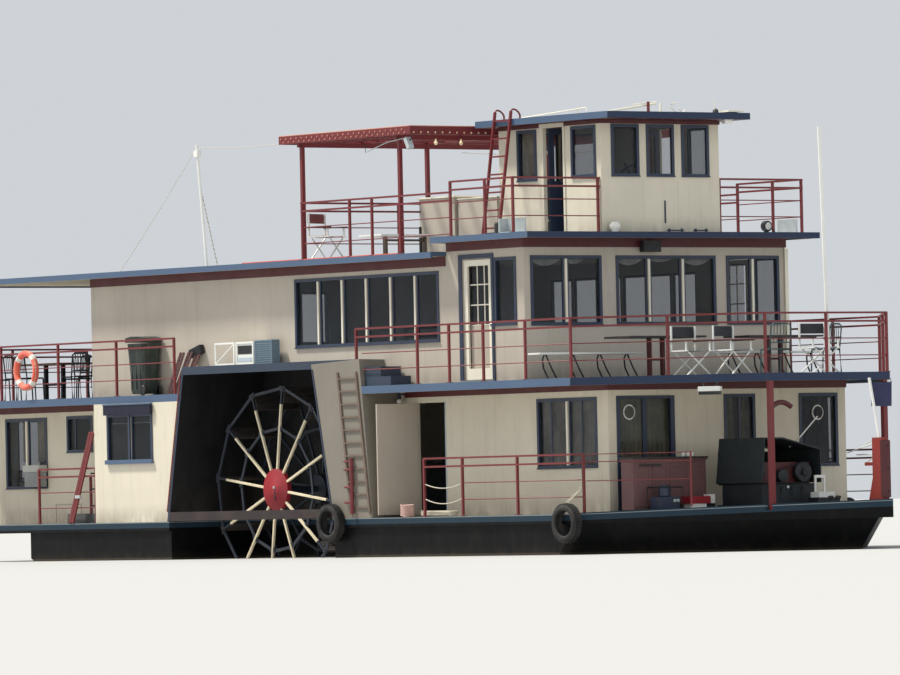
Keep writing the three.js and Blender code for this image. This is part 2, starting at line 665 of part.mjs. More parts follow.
function forwardRoof() {
  const stepFoot = AFT_ROOF_TOP - PLATE;
  const wings = fasciaDeck(
    rectangle(ROOF_STEP_X, ROOF_FRONT_X, -ROOF_HALF, ROOF_HALF), FORWARD_ROOF_TOP, ROOF_FASCIA,
  );
  const riserHalf = UPPER_CABIN_HALF - WALL - GAP;
  const riser = box(
    ROOF_STEP_X, ROOF_STEP_X + FASCIA_THICK, -riserHalf, riserHalf, stepFoot, FORWARD_ROOF_TOP - PLATE / 2,
  );
  const tongue = box(
    ROOF_TONGUE_X, ROOF_STEP_X + FASCIA_THICK, -ROOF_TONGUE_HALF, ROOF_TONGUE_HALF, stepFoot, FORWARD_ROOF_TOP,
  );
  const walls = [-1, 1].map((side) => {
    const inner = side * (UPPER_CABIN_HALF - WALL - GAP);
    const outer = side * (UPPER_CABIN_HALF + GAP);
    return box(
      ROOF_STEP_X - 10, ROOF_STEP_X + 100, Math.min(inner, outer), Math.max(inner, outer),
      FORWARD_ROOF_TOP - ROOF_FASCIA - 10, FORWARD_ROOF_TOP - PLATE,
    );
  });
  return joined(cut(wings, walls), riser, tongue);
}

function wheelhouseRoof() {
  const outline = rectangle(
    WHEELHOUSE_ROOF_AFT_X, WHEELHOUSE_ROOF_FRONT_X, -WHEELHOUSE_ROOF_HALF, WHEELHOUSE_ROOF_HALF,
  );
  return plateXY(outline, WHEELHOUSE_ROOF_TOP - WHEELHOUSE_ROOF_THICK, WHEELHOUSE_ROOF_TOP);
}

add("aft_roof", aftRoof(), ROOF_GREY);
add("forward_roof", forwardRoof(), STEEL_BLUE);
add("wheelhouse_roof", wheelhouseRoof(), STEEL_BLUE);

// Wheelhouse

function wheelhouse() {
  const shell = cut(
    box(WHEELHOUSE_AFT_X, WHEELHOUSE_FRONT_X, -WHEELHOUSE_HALF, WHEELHOUSE_HALF, houseFoot, houseHead),
    box(
      WHEELHOUSE_AFT_X + WALL, WHEELHOUSE_FRONT_X - WALL, -WHEELHOUSE_HALF + WALL, WHEELHOUSE_HALF - WALL,
      houseFoot - 10, houseHead + 10,
    ),
  );
  const beyond = 100;
  const sides = holesOf(WHEELHOUSE_SIDE_WINDOWS, WHEELHOUSE_DOOR).map(([x0, x1, z0, z1]) =>
    box(x0, x1, -WHEELHOUSE_HALF - beyond, WHEELHOUSE_HALF + beyond, z0, z1),
  );
  const front = holesOf(WHEELHOUSE_FRONT_WINDOWS).map(([y0, y1, z0, z1]) =>
    box(WHEELHOUSE_FRONT_X - beyond, WHEELHOUSE_FRONT_X + beyond, y0, y1, z0, z1),
  );
  const aft = holesOf(WHEELHOUSE_AFT_WINDOW).map(([y0, y1, z0, z1]) =>
    box(WHEELHOUSE_AFT_X - beyond, WHEELHOUSE_AFT_X + beyond, y0, y1, z0, z1),
  );
  const face = WHEELHOUSE_HALF - WALL;
  const hinges = [-1, 1].flatMap((side) => bracketsXZ(WHEELHOUSE_DOOR, side * face, -side, FORWARD_ROOF_TOP));
  return joined(cut(shell, sides, front, aft), hinges);
}

add("wheelhouse", wheelhouse(), CREAM);

// Helm: a console below the front windows, and the steering wheel on its aft face

const CONSOLE_AFT_X = 7350;
const HELM_Z = 6900;
const HELM_RADIUS = 380;

add(
  "helm_console",
  box(CONSOLE_AFT_X, WHEELHOUSE_FRONT_X - WALL - GAP, -650, 650, houseFoot, HELM_Z - 130),
  UMBER,
);

function helmWheel() {
  const turned = (radius, x0, x1, sides) =>
    new THREE.CylinderGeometry(radius, radius, x1 - x0, sides).rotateZ(Math.PI / 2).translate((x0 + x1) / 2, 0, 0);
  const rim = cut(turned(HELM_RADIUS, -25, 25, 16), turned(HELM_RADIUS - 45, -40, 40, 16));
  const spokes = [0, 1, 2].map((i) =>
    box(-14, 14, -HELM_RADIUS - 70, HELM_RADIUS + 70, -14, 14).rotateX((i * Math.PI) / 3),
  );
  return joined(rim, spokes, turned(70, -35, 100 - GAP, 12));
}

const helm = add("helm_wheel", helmWheel(), UMBER);
helm.position.set(CONSOLE_AFT_X - 100, 0, HELM_Z - 130 - 90);

// Doors: a leaf with two knuckles, hung on the brackets of its wall

const LEAF_THICK = 40;
const LEAF_CLEAR = 8;
const LEAF_FRAME = 110;

// The leaf in its own frame: hinge axis on Z at the origin, closed leaf along +X,
// the wall's face at y = -HINGE_OFFSET, and the opening side at +Y.
function leaf(door, floor, glassSill) {
  const width = door.to - door.from;
  const [z0, z1] = [door.sill + LEAF_CLEAR - floor, door.head - LEAF_CLEAR - floor];
  const outline = rectangle(LEAF_CLEAR, width - LEAF_CLEAR, z0, z1);
  const window = [LEAF_CLEAR + LEAF_FRAME, width - LEAF_CLEAR - LEAF_FRAME, glassSill, z1 - LEAF_FRAME];
  const panel = plateXZ(outline, -HINGE_OFFSET - LEAF_THICK, -HINGE_OFFSET, glassSill ? [window] : []);
  const knuckles = HINGE_HEIGHTS.map((height) =>
    joined(
      rod([0, 0, height], [0, 0, height + KNUCKLE_TALL], KNUCKLE_RADIUS),
      box(LEAF_CLEAR / 2, LEAF_CLEAR + 30, -HINGE_OFFSET - 5, -HINGE_OFFSET + 10, height, height + KNUCKLE_TALL),
    ),
  );
  return joined(panel, knuckles);
}

// side: -1 starboard or +1 port, for a wall along the boat; 0 for a wall across it.
// opens: +1 when the leaf opens inboard, -1 when it opens outboard.
function hangDoor({ name, door, floor, face, side, opens, rest, glassSill }) {
  const hinge = new THREE.Group();
  const mesh = add(name, leaf(door, floor, glassSill), CREAM, hinge);
  if (side === 0) {
    hinge.position.set(face + HINGE_OFFSET, door.from, floor);
    hinge.rotation.z = Math.PI / 2 - rest;
    mesh.scale.y = -1;
  } else {
    const openingSide = -side * opens;
    hinge.position.set(door.from, side * face + openingSide * HINGE_OFFSET, floor);
    hinge.rotation.z = openingSide * rest;
    mesh.scale.y = openingSide;
  }
  steamer.add(hinge);
}

const MAIN_DOOR_REST = 100 * DEGREES;
const HOUSE_DOOR_REST = 85 * DEGREES;

for (const [sideName, side] of [["starboard", -1], ["port", 1]]) {
  hangDoor({
    name: "main_door_" + sideName, door: MAIN_DOOR, floor: DECK_TOP, face: MAIN_CABIN_HALF,
    side, opens: -1, rest: MAIN_DOOR_REST, glassSill: 0,
  });
  hangDoor({
    name: "upper_door_" + sideName, door: UPPER_DOOR, floor: UPPER_TOP, face: UPPER_CABIN_HALF - WALL,
    side, opens: 1, rest: 0, glassSill: 250,
  });
  hangDoor({
    name: "wheelhouse_door_" + sideName, door: WHEELHOUSE_DOOR, floor: FORWARD_ROOF_TOP,
    face: WHEELHOUSE_HALF - WALL, side, opens: 1, rest: HOUSE_DOOR_REST, glassSill: 1000,
  });
}
hangDoor({
  name: "stern_door", door: STERN_DOOR, floor: DECK_TOP, face: MAIN_CABIN_AFT_X + WALL,
  side: 0, opens: 1, rest: 0, glassSill: 1000,
});

// Front sliding door: it runs on the deck behind the front wall

function slidingDoor() {
  const x1 = MAIN_CABIN_FRONT_X - WALL - LEAF_CLEAR;
  const [y0, y1] = [FRONT_SLIDING_OPENING.from + 20, FRONT_SLIDING_OPENING.to + 60];
  const outline = rectangle(y0, y1, DECK_TOP + GAP, FRONT_SLIDING_OPENING.head + 60);
  const glass = [[y0 + 90, y1 - 90, DECK_TOP + 160, FRONT_SLIDING_OPENING.head - 40]];
  return plateYZ(outline, x1 - LEAF_THICK, x1, glass);
}

add("front_sliding_door", slidingDoor(), CREAM);

// Rudders: a blade on a stock that hangs below the overhanging deck

function rudder() {
  const top = DECK_TOP - DECK_THICK - GAP;
  const stock = rod([0, 0, -520], [0, 0, top], 45, 12);
  const blade = plateXZ([[-620, -560], [220, -560], [220, 60], [-620, 100]], -20, 20);
  return joined(stock, blade);
}

const RUDDER_X = -8050;
const RUDDER_Y = 1500;
const rudderGeometry = rudder();
for (const [sideName, side] of [["starboard", -1], ["port", 1]])
  add("rudder_" + sideName, rudderGeometry, HULL_BLACK).position.set(RUDDER_X, side * RUDDER_Y, 0);

// Railings: posts, a second rail on them, and a handrail raised above it

const RAIL_THICK = 34;

// The outline of a flat strip that follows a path, mitred at its corners.
function ribbon(path, width) {
  const headings = path.slice(1).map(([x, y], i) => Math.atan2(y - path[i][1], x - path[i][0]));
  const edge = (side) =>
    path.map(([x, y], i) => {
      const before = headings[Math.max(0, i - 1)];
      const after = headings[Math.min(i, headings.length - 1)];
      const turn = Math.atan2(Math.sin(after - before), Math.cos(after - before)) / 2;
      const reach = (side * width) / 2 / Math.cos(turn);
      return [x - reach * Math.sin(before + turn), y + reach * Math.cos(before + turn)];
    });
  return [...edge(-1), ...edge(1).reverse()];
}

// The places of the posts: at both ends of each stretch, and evenly between.
function postPlaces(path) {
  const between = path.slice(1).flatMap(([x, y], i) => {
    const [fromX, fromY] = path[i];
    const bays = Math.max(1, Math.round(Math.hypot(x - fromX, y - fromY) / POST_SPACING));
    return Array.from({ length: bays }, (_, bay) => {
      const along = (bay + 1) / bays;
      return [Math.round(fromX + (x - fromX) * along), Math.round(fromY + (y - fromY) * along)];
    });
  });
  return [path[0], ...between];
}

function railing(path, places, floor, height = RAIL_HEIGHT, second = SECOND_RAIL) {
  const strip = ribbon(path, POST + 6);
  const rails = [second, height].map((top) => plateXY(strip, floor + top - RAIL_THICK, floor + top));
  const posts = places.map(([x, y]) =>
    box(x - POST / 2, x + POST / 2, y - POST / 2, y + POST / 2, floor + GAP, floor + height - 10),
  );
  return joined(rails[0], posts, rails[1]);
}

const railY = HALF_BEAM - RAIL_INSET;
const mirrored = (points) => points.map(([x, y]) => [x, -y]).reverse();
const onBothSides = (places, y) => places.flatMap((x) => [[x, -y], [x, y]]);

function upperRailForward() {
  const [, shoulder, corner] = inset(upperOutline, RAIL_INSET);
  const half = [[FORWARD_POSTS_X[0], -railY], shoulder, corner];
  const bow = [shoulder, corner, [corner[0], 0], ...mirrored([shoulder, corner])];
  const places = [...onBothSides(FORWARD_POSTS_X, railY), ...postPlaces(bow)];
  const boxTops = [-1, 1].map((side) =>
    box(
      FORWARD_POSTS_X[0] - POST, FORWARD_POSTS_X[0] + POST, side * railY - POST, side * railY + POST,
      UPPER_TOP, BOX_TOP + GAP,
    ),
  );
  return cut(railing([...half, ...mirrored(half)], places, UPPER_TOP), boxTops);
}

function upperRailAft() {
  const sternX = UPPER_DECK_AFT_X + RAIL_INSET;
  const half = [[AFT_POSTS_X[0], -railY], [sternX, -railY]];
  const places = [...onBothSides(AFT_POSTS_X, railY), ...postPlaces([[sternX, -railY], [sternX, railY]])];
  const roofPosts = [-1, 1].map((side) => {
    const [x, y] = [UPPER_DECK_AFT_X + 280, side * (ROOF_HALF - FASCIA_THICK - 60)];
    const post = box(x - 45, x + 45, y - 45, y + 45, UPPER_TOP + GAP, AFT_ROOF_TOP - PLATE - GAP);
    const tie = bar([x, y, UPPER_TOP + SECOND_RAIL], [x, side * railY, UPPER_TOP + SECOND_RAIL], 30);
    return joined(post, tie);
  });
  return joined(railing([...half, ...mirrored(half)], places, UPPER_TOP), roofPosts);
}

// Its last post stands just round the shoulder of the deck.
function mainRailForward() {
  const places = MAIN_POSTS_X.map((x) => [x, -railY]);
  return railing([places[0], [9800, -railY], MAIN_RAIL_END], [...places, MAIN_RAIL_END], DECK_TOP);
}

function mainRailAft() {
  const path = [[-7060, -railY], [SIDE_CABIN_AFT_X - POST, -railY]];
  return railing(path, postPlaces(path), DECK_TOP);
}

function sternRail() {
  const half = [[-8700, -railY], [MAIN_DECK_AFT_X + RAIL_INSET, -railY]];
  const path = [...half, ...mirrored(half)];
  return railing(path, postPlaces(path), DECK_TOP);
}

// Round the sun deck, then a step higher along both sides of the wheelhouse and in to its corners.
function roofRail() {
  const y = ROOF_HALF - RAIL_INSET;
  const [aftX, meetX] = [ROOF_POSTS_X[0], HOUSE_POSTS_X[0]];
  const low = [[meetX, -y], [aftX, -y], [aftX, y], [meetX, y]];
  const lowPlaces = [...onBothSides(ROOF_POSTS_X, y), ...postPlaces([[aftX, -y], [aftX, y]])];
  const high = [-1, 1].map((side) => {
    const path = [[meetX, side * y], [HOUSE_RAIL_X, side * y], [HOUSE_RAIL_X, side * (WHEELHOUSE_HALF + GAP)]];
    const places = [...HOUSE_POSTS_X.map((x) => [x, side * y]), path[1], [HOUSE_RAIL_X, side * (WHEELHOUSE_HALF + POST)]];
    return railing(path, places, FORWARD_ROOF_TOP, 1000, 850);
  });
  return joined(railing(low, lowPlaces, AFT_ROOF_TOP), high);
}

add("upper_rail_forward", upperRailForward(), MAROON);
add("upper_rail_aft", upperRailAft(), MAROON);
addPair("main_rail_forward", mainRailForward(), MAROON);
addPair("main_rail_aft", mainRailAft(), MAROON);
add("stern_rail", sternRail(), MAROON);
add("roof_rail", roofRail(), MAROON);

// Pergola over the sun deck

const PERGOLA = { aft: 430, front: 4500, half: 3000, top: 7860, beam: 140, slats: 9 };
const PERGOLA_POSTS = [[950, 2900], [950, 0], [4000, 2900], [4000, 0]];

function pergola() {
  const { aft, front, half, top, beam, slats } = PERGOLA;
  const beams = [-half, -half / 2, 0, half / 2, half].map((y) =>
    bar([aft, y, top - beam / 2], [front, y, top - beam / 2], 50, beam),
  );
  const cross = Array.from({ length: slats }, (_, i) => {
    const x = aft + 25 + ((front - aft - 50) * i) / (slats - 1);
    return bar([x, -half, top - beam / 2], [x, half, top - beam / 2], 50, beam - 30);
  });
  const posts = PERGOLA_POSTS.flatMap(([x, y]) => (y ? [[x, -y], [x, y]] : [[x, 0]])).map(([x, y]) =>
    box(x - 35, x + 35, y - 35, y + 35, AFT_ROOF_TOP + GAP, top - beam / 2),
  );
  const ties = [950, 4000].map((x) => bar([x, -half, top - beam - 40], [x, half, top - beam - 40], 50, 90));
  return joined(beams, cross, posts, ties);
}

add("pergola", pergola(), MAROON);

// Posts, staffs and ladders

const cornerPost = box(
  CORNER_POST.aft, CORNER_POST.front, -CORNER_POST.outer, -CORNER_POST.inner,
  DECK_TOP + GAP, UPPER_TOP - FASCIA_DEPTH - GAP,
);
// The cleat that carries the post up behind the fascia, to the deck plate.
const CLEAT_THICK = 60;
const cleatFront = UPPER_DECK_FRONT_X - FASCIA_THICK - GAP * 2;
const cornerCleat = box(
  cleatFront - CLEAT_THICK, cleatFront, -CORNER_POST.outer + 45, -CORNER_POST.inner,
  UPPER_TOP - FASCIA_DEPTH - 100, UPPER_TOP - PLATE - GAP,
);
addPair("corner_post", joined(cornerPost, cornerCleat), MAROON);

add("jackstaff", leaningPole([12500, 150, UPPER_TOP + GAP], [12360, 150, 7490], 34, 10), WHITE);
add("lamp_pole", leaningPole([-2200, -2900, AFT_ROOF_TOP + GAP], [-2460, -2900, 7850], 28, 10), WHITE);

// It leans inboard against the edge of the wheelhouse roof, across the step of the deck roofs,
// and each of its feet is cut level on its own roof.
const HOUSE_LADDER = { x: 5510, lean: 0.15, clear: 25.6, head: 8080, width: 480, rungs: 8 };

function houseLadder() {
  const { x, lean, clear, head, width, rungs } = HOUSE_LADDER;
  const below = AFT_ROOF_TOP - 60;
  const yAt = (z) => -WHEELHOUSE_ROOF_HALF - clear - lean * (WHEELHOUSE_ROOF_TOP - z);
  const whole = ladder([x, yAt(below), below], [x, yAt(head), head], width, [1, 0], rungs);
  const under = (x0, x1, top) => box(x0, x1, yAt(below) - 100, yAt(below) + 300, below - 100, top + GAP);
  return cut(
    whole, under(x - width, ROOF_STEP_X - GAP, AFT_ROOF_TOP), under(ROOF_STEP_X - GAP * 2, x + width, FORWARD_ROOF_TOP),
  );
}

add("house_ladder", houseLadder(), MAROON);

// Deck equipment

const STEPS = { aft: LOCKER_TOP_X + 75, riser: 4110, front: 4410, low: 170, high: 350 };

function boxSteps() {
  const { aft, riser, front, low, high } = STEPS;
  const outline = [
    [aft, upperFoot], [front, upperFoot], [front, UPPER_TOP + low],
    [riser, UPPER_TOP + low], [riser, UPPER_TOP + high], [aft, UPPER_TOP + high],
  ];
  return plateXZ(outline, -3520, -3060);
}

add("box_steps", boxSteps(), STEEL_BLUE);
add("cooler_unit", box(-150, 400, -3300, -3110, BOX_TOP + GAP, BOX_TOP + 450), STEEL_BLUE);
add("white_chest", box(-760, -190, -3300, -3110, BOX_TOP + GAP, BOX_TOP + 430), WHITE);

const BIN = { x: -3815, y: -3275, long: 590, deep: 460, high: 1130 };

function wheeledBin() {
  const { x, y, long, deep, high } = BIN;
  const tub = new THREE.CylinderGeometry(Math.SQRT1_2, Math.SQRT1_2 * 0.82, 1, 4)
    .rotateY(Math.PI / 4)
    .rotateX(Math.PI / 2)
    .scale(long - 20, deep - 20, high - 60)
    .translate(x, y, UPPER_TOP + GAP + (high - 60) / 2);
  const lid = box(x - long / 2, x + long / 2, y - deep / 2, y + deep / 2, UPPER_TOP + high - 80, UPPER_TOP + high);
  return joined(tub, lid);
}

add("wheeled_bin", wheeledBin(), BIN_GREEN);

// A ring whose axis runs athwartships, of eight-sided section.
function ringY(radius, tube, segments) {
  return new THREE.TorusGeometry(radius, tube, 8, segments).rotateX(Math.PI / 2);
}

const BUOY_TUBE = 62;
const BUOY_RADIUS = 395;
const buoy = add("lifebuoy", ringY(BUOY_RADIUS - BUOY_TUBE, BUOY_TUBE, 24).rotateY(Math.PI / 24), BUOY_RED);
buoy.position.set(-7300, -railY - POST / 2 - 3 - GAP - BUOY_TUBE, 3700);

// Old tyres hung flat against the edge of the deck as fenders
const TYRE = { radius: 355, bore: 200, half: 90, sectors: 24 };
const TYRE_PLACES = [
  ["tyre_fender_aft_starboard", 2690, 640, -1],
  ["tyre_fender_forward_starboard", 9780, 560, -1],
  ["tyre_fender_aft_port", 2690, 640, 1],
  ["tyre_fender_forward_port", 8600, 560, 1],
];

function tyre() {
  const { radius, bore, half, sectors } = TYRE;
  const section = [
    [bore, -half + 20], [bore + 25, -half], [radius - 30, -half], [radius, -half + 30],
    [radius, half - 30], [radius - 30, half], [bore + 25, half], [bore, half - 20], [bore, -half + 20],
  ];
  return new THREE.LatheGeometry(section.map(([r, y]) => new THREE.Vector2(r, y)), sectors);
}

for (const [name, x, z, side] of TYRE_PLACES)
  add(name, tyre().translate(x, side * (HALF_BEAM + GAP + TYRE.half), z), RUBBER);

// A covered machine whose hood slopes down to port.
const HOUSING = { aft: 10600, front: 11900, near: -950, ridge: -450, far: 420, high: 2000, low: 1790 };
const hoodOutline = [
  [HOUSING.near, DECK_TOP + GAP], [HOUSING.far, DECK_TOP + GAP], [HOUSING.far, HOUSING.low],
  [HOUSING.ridge, HOUSING.high], [HOUSING.near + 90, HOUSING.high],
];
add("foredeck_housing", plateYZ(hoodOutline, HOUSING.aft, HOUSING.front), HULL_BLACK);
add("foredeck_bench", box(10150, 10560, -2780, -1080, DECK_TOP + GAP, 1700), MAROON);
const bowPost = box(13890, 14150, -70, 70, DECK_TOP + GAP, 1950);
add("bow_post", joined(bowPost, rod([14020, 0, 1900], [13770, 0, 3000], 26, 8)), MAROON);

export default steamer;
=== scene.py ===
import math

import bmesh
import bpy
from mathutils import Matrix, Vector


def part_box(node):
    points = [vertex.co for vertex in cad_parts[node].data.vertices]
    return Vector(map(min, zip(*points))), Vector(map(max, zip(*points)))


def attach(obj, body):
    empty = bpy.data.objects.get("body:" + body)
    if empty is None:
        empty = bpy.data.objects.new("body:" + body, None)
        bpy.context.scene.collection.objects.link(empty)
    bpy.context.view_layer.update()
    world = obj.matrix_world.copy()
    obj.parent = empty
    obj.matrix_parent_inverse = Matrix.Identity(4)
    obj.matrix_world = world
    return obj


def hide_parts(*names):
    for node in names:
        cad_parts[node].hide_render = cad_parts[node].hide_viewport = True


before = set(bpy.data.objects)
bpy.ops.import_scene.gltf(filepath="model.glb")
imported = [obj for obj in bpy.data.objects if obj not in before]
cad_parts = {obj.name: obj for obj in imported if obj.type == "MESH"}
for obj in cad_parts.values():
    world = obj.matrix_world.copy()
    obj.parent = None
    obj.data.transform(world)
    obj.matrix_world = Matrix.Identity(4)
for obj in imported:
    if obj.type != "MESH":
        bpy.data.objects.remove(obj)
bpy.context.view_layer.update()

# Levels and faces of the frame
DECK = 0.72
UPPER = 3.13
AFT_ROOF = 5.52
FORWARD_ROOF = 5.78
HOUSE_ROOF = 7.94
BEAM = 3.6
MAIN_Y = 2.73
MAIN_FRONT_X = 9.81
MAIN_AFT_X = -9.70
UPPER_Y = 3.02
UPPER_FRONT_X = 7.82
UPPER_AFT_X = -5.94
HOUSE_Y = 1.364
HOUSE_FRONT_X = 8.01
HOUSE_AFT_X = 4.98
BOX_TOP = 3.63
BOX_BACK_Y = 1.695
BOW_POST_AFT_X = 13.89
FRONT_DOOR_CASING = ((-2.55, -2.48), (-1.33, -1.235))
SHAFT_Z = 1.28
SIDES = (-1, 1)
SIDE_NAMES = {-1: "starboard", 1: "port"}

# Space that keeps a piece's face off the face of its neighbour
NEAR = 0.001


# Camera, light and floor

def make_camera():
    heading, tilt, roll = 0.9271, 0.0206, -0.0214
    target = Vector((1.5476, 0.0, 4.066))
    distance = 150.0
    level = math.cos(tilt)
    forward = Vector((-math.sin(heading) * level, math.cos(heading) * level, math.sin(tilt)))
    right = forward.cross(Vector((0, 0, 1))).normalized()
    up = right.cross(forward)
    turned_right = math.cos(roll) * right + math.sin(roll) * up
    turned_up = math.cos(roll) * up - math.sin(roll) * right
    data = bpy.data.cameras.new("camera")
    data.sensor_width = 36.0
    data.lens = 319.7
    data.clip_start, data.clip_end = 1.0, 2000.0
    camera = bpy.data.objects.new("camera", data)
    bpy.context.scene.collection.objects.link(camera)
    axes = Matrix((turned_right, turned_up, -forward)).transposed()
    camera.matrix_world = Matrix.Translation(target - distance * forward) @ axes.to_4x4()
    bpy.context.scene.camera = camera


def add_light(name, kind, direction, **settings):
    data = bpy.data.lights.new(name, kind)
    for key, value in settings.items():
        setattr(data, key, value)
    lamp = bpy.data.objects.new(name, data)
    lamp.rotation_mode = "QUATERNION"
    lamp.rotation_quaternion = Vector(direction).to_track_quat("-Z", "Y")
    bpy.context.scene.collection.objects.link(lamp)


def make_light():
    scene = bpy.context.scene
    world = bpy.data.worlds.new("studio")
    scene.world = world
    world.use_nodes = True
    background = world.node_tree.nodes["Background"]
    background.inputs["Color"].default_value = (0.86, 0.90, 0.95, 1)
    background.inputs["Strength"].default_value = 0.72
    add_light("key", "SUN", (0.40, 0.30, -0.866), energy=5.2, angle=0.13, color=(1.0, 0.96, 0.88))
    add_light("fill", "SUN", (-0.9, 0.35, -0.25), energy=0.25, angle=0.8, color=(0.86, 0.92, 1.0))
    scene.view_settings.view_transform = "Standard"


def make_floor():
    mesh = bpy.data.meshes.new("floor")
    reach = 900.0
    corners = [(-reach, -reach, 0), (reach, -reach, 0), (reach, reach, 0), (-reach, reach, 0)]
    mesh.from_pydata(corners, [], [(0, 1, 2, 3)])
    floor = bpy.data.objects.new("floor", mesh)
    bpy.context.scene.collection.objects.link(floor)
    material = bpy.data.materials.new("pale_floor")
    material.use_nodes = True
    shader = material.node_tree.nodes["Principled BSDF"]
    shader.inputs["Base Color"].default_value = (0.42, 0.42, 0.41, 1)
    shader.inputs["Roughness"].default_value = 0.9
    mesh.materials.append(material)


# Free ropes: two slack ones between the posts of the main rail, and two that lie coiled on the deck

SLACK_ROPE = 0.018
COILED_ROPE = 0.022
RAIL_GAP_X = (5.442, 6.548)
SLACK_ROPES = ((1.31, 0.08), (1.04, 0.09))
COILS = (
    ("round", 4.80, -3.49, 0.12, 0.12, 9, "flecked_rope"),
    ("long", 5.62, -3.38, 0.48, 0.09, 4, "rope"),
)
COIL_STEPS = 24
COIL_RISE = 0.0245
COIL_START = 82.5


def coil_path(x, y, half_long, half_wide, turns):
    """A flat oblong coil that climbs by one rope's thickness a turn."""
    straight = half_long - half_wide
    path = []
    for i in range(COIL_STEPS * turns):
        angle = math.radians(360 / COIL_STEPS * i - COIL_START)
        way = 1 if i % COIL_STEPS < COIL_STEPS / 2 else -1
        height = DECK + COILED_ROPE / 2 + NEAR + COIL_RISE * i / COIL_STEPS
        along = x + way * straight + half_wide * math.cos(angle)
        path.append((along, y + half_wide * math.sin(angle), height))
    return path


def make_cords():
    for number, (height, sag) in enumerate(SLACK_ROPES, 1):
        path = sagging(*((x, -RAIL_Y, height) for x in RAIL_GAP_X), sag, 20)
        rope = Shape()
        rope.tube(path, SLACK_ROPE / 2, sides=10)
        piece = rope.make(f"slack_rope_{number}", "boat", ["rope"], "white_paint", smooth=True)
    for name, x, y, half_long, half_wide, turns, look in COILS:
        path = coil_path(x, y, half_long, half_wide, turns)
        rope = Shape()
        rope.tube(path, COILED_ROPE / 2, sides=8)
        piece = rope.make(name + "_rope_coil", "boat", [look], "white_paint", smooth=True)


# Materials

def srgb(red, green, blue):
    def linear(value):
        value /= 255
        return value / 12.92 if value <= 0.04045 else ((value + 0.055) / 1.055) ** 2.4
    return (linear(red), linear(green), linear(blue), 1.0)


class Graph:
    """A material's nodes, written as calls that return the output socket."""

    def __init__(self, name):
        self.material = bpy.data.materials.new(name)
        self.material.use_nodes = True
        self.tree = self.material.node_tree
        self.shader = self.tree.nodes["Principled BSDF"]
        self.object_place = self.tree.nodes.new("ShaderNodeTexCoord").outputs["Object"]

    def node(self, kind, inputs=(), **settings):
        node = self.tree.nodes.new(kind)
        for key, value in settings.items():
            setattr(node, key, value)
        for key, value in dict(inputs).items():
            self.feed(node.inputs[key], value)
        return node

    def feed(self, socket, value):
        if isinstance(value, bpy.types.NodeSocket):
            self.tree.links.new(value, socket)
        else:
            socket.default_value = value

    def noise(self, scale, detail=4.0, stretch=(1, 1, 1), rough=0.6, offset=0.0):
        place = self.node(
            "ShaderNodeMapping",
            {"Vector": self.object_place, "Scale": stretch, "Location": (offset, offset, offset)},
        ).outputs["Vector"]
        inputs = {"Vector": place, "Scale": scale, "Detail": detail, "Roughness": rough}
        return self.node("ShaderNodeTexNoise", inputs).outputs["Fac"]

    def ramp(self, value, low, high, to_low=0.0, to_high=1.0):
        inputs = {"Value": value, "From Min": low, "From Max": high, "To Min": to_low, "To Max": to_high}
        return self.node("ShaderNodeMapRange", inputs).outputs["Result"]

    def math(self, operation, first, second=0.0):
        node = self.node("ShaderNodeMath", operation=operation)
        self.feed(node.inputs[0], first)
        self.feed(node.inputs[1], second)
        return node.outputs["Value"]

    def mix(self, factor, first, second):
        node = self.node("ShaderNodeMix", data_type="RGBA")
        self.feed(node.inputs[0], factor)
        self.feed(node.inputs[6], first)
        self.feed(node.inputs[7], second)
        return node.outputs[2]

    def axis(self, name):
        """X, Y or Z, or Sheer: the height above a level that rises toward the bow as the toe rail does."""
        place = self.node("ShaderNodeSeparateXYZ", {"Vector": self.object_place}).outputs
        if name != "Sheer":
            return place[name]
        forward = self.math("MAXIMUM", self.math("SUBTRACT", place["X"], SHOULDER_X))
        return self.math("SUBTRACT", place["Z"], self.math("MULTIPLY", forward, SHEER_RISE))

    def between(self, name, low, high):
        value, soft = self.axis(name), 0.004
        rise = self.ramp(value, low - soft, low + soft)
        fall = self.ramp(value, high - soft, high + soft, 1.0, 0.0)
        return self.math("MULTIPLY", rise, fall)

    def bump(self, height, strength, distance, under=None):
        inputs = {"Height": height, "Strength": strength, "Distance": distance}
        if under is not None:
            inputs["Normal"] = under
        return self.node("ShaderNodeBump", inputs).outputs["Normal"]

    def finish(self, colour, roughness, normal=None, **fixed):
        self.feed(self.shader.inputs["Base Color"], colour)
        self.feed(self.shader.inputs["Roughness"], roughness)
        if normal is not None:
            self.feed(self.shader.inputs["Normal"], normal)
        for key, value in fixed.items():
            self.shader.inputs[key.replace("_", " ")].default_value = value
        return self.material


def scaled(colour, factor):
    return tuple(min(1.0, channel * factor) for channel in colour[:3]) + (1.0,)


GRIME = srgb(96, 84, 66)
SHOULDER_X = 9.85
SHEER_RISE = 0.03
STRAND_PITCH = 0.03

# The length of one wave of Blender's wave texture at a scale of 1
WAVE_LENGTH = 0.31


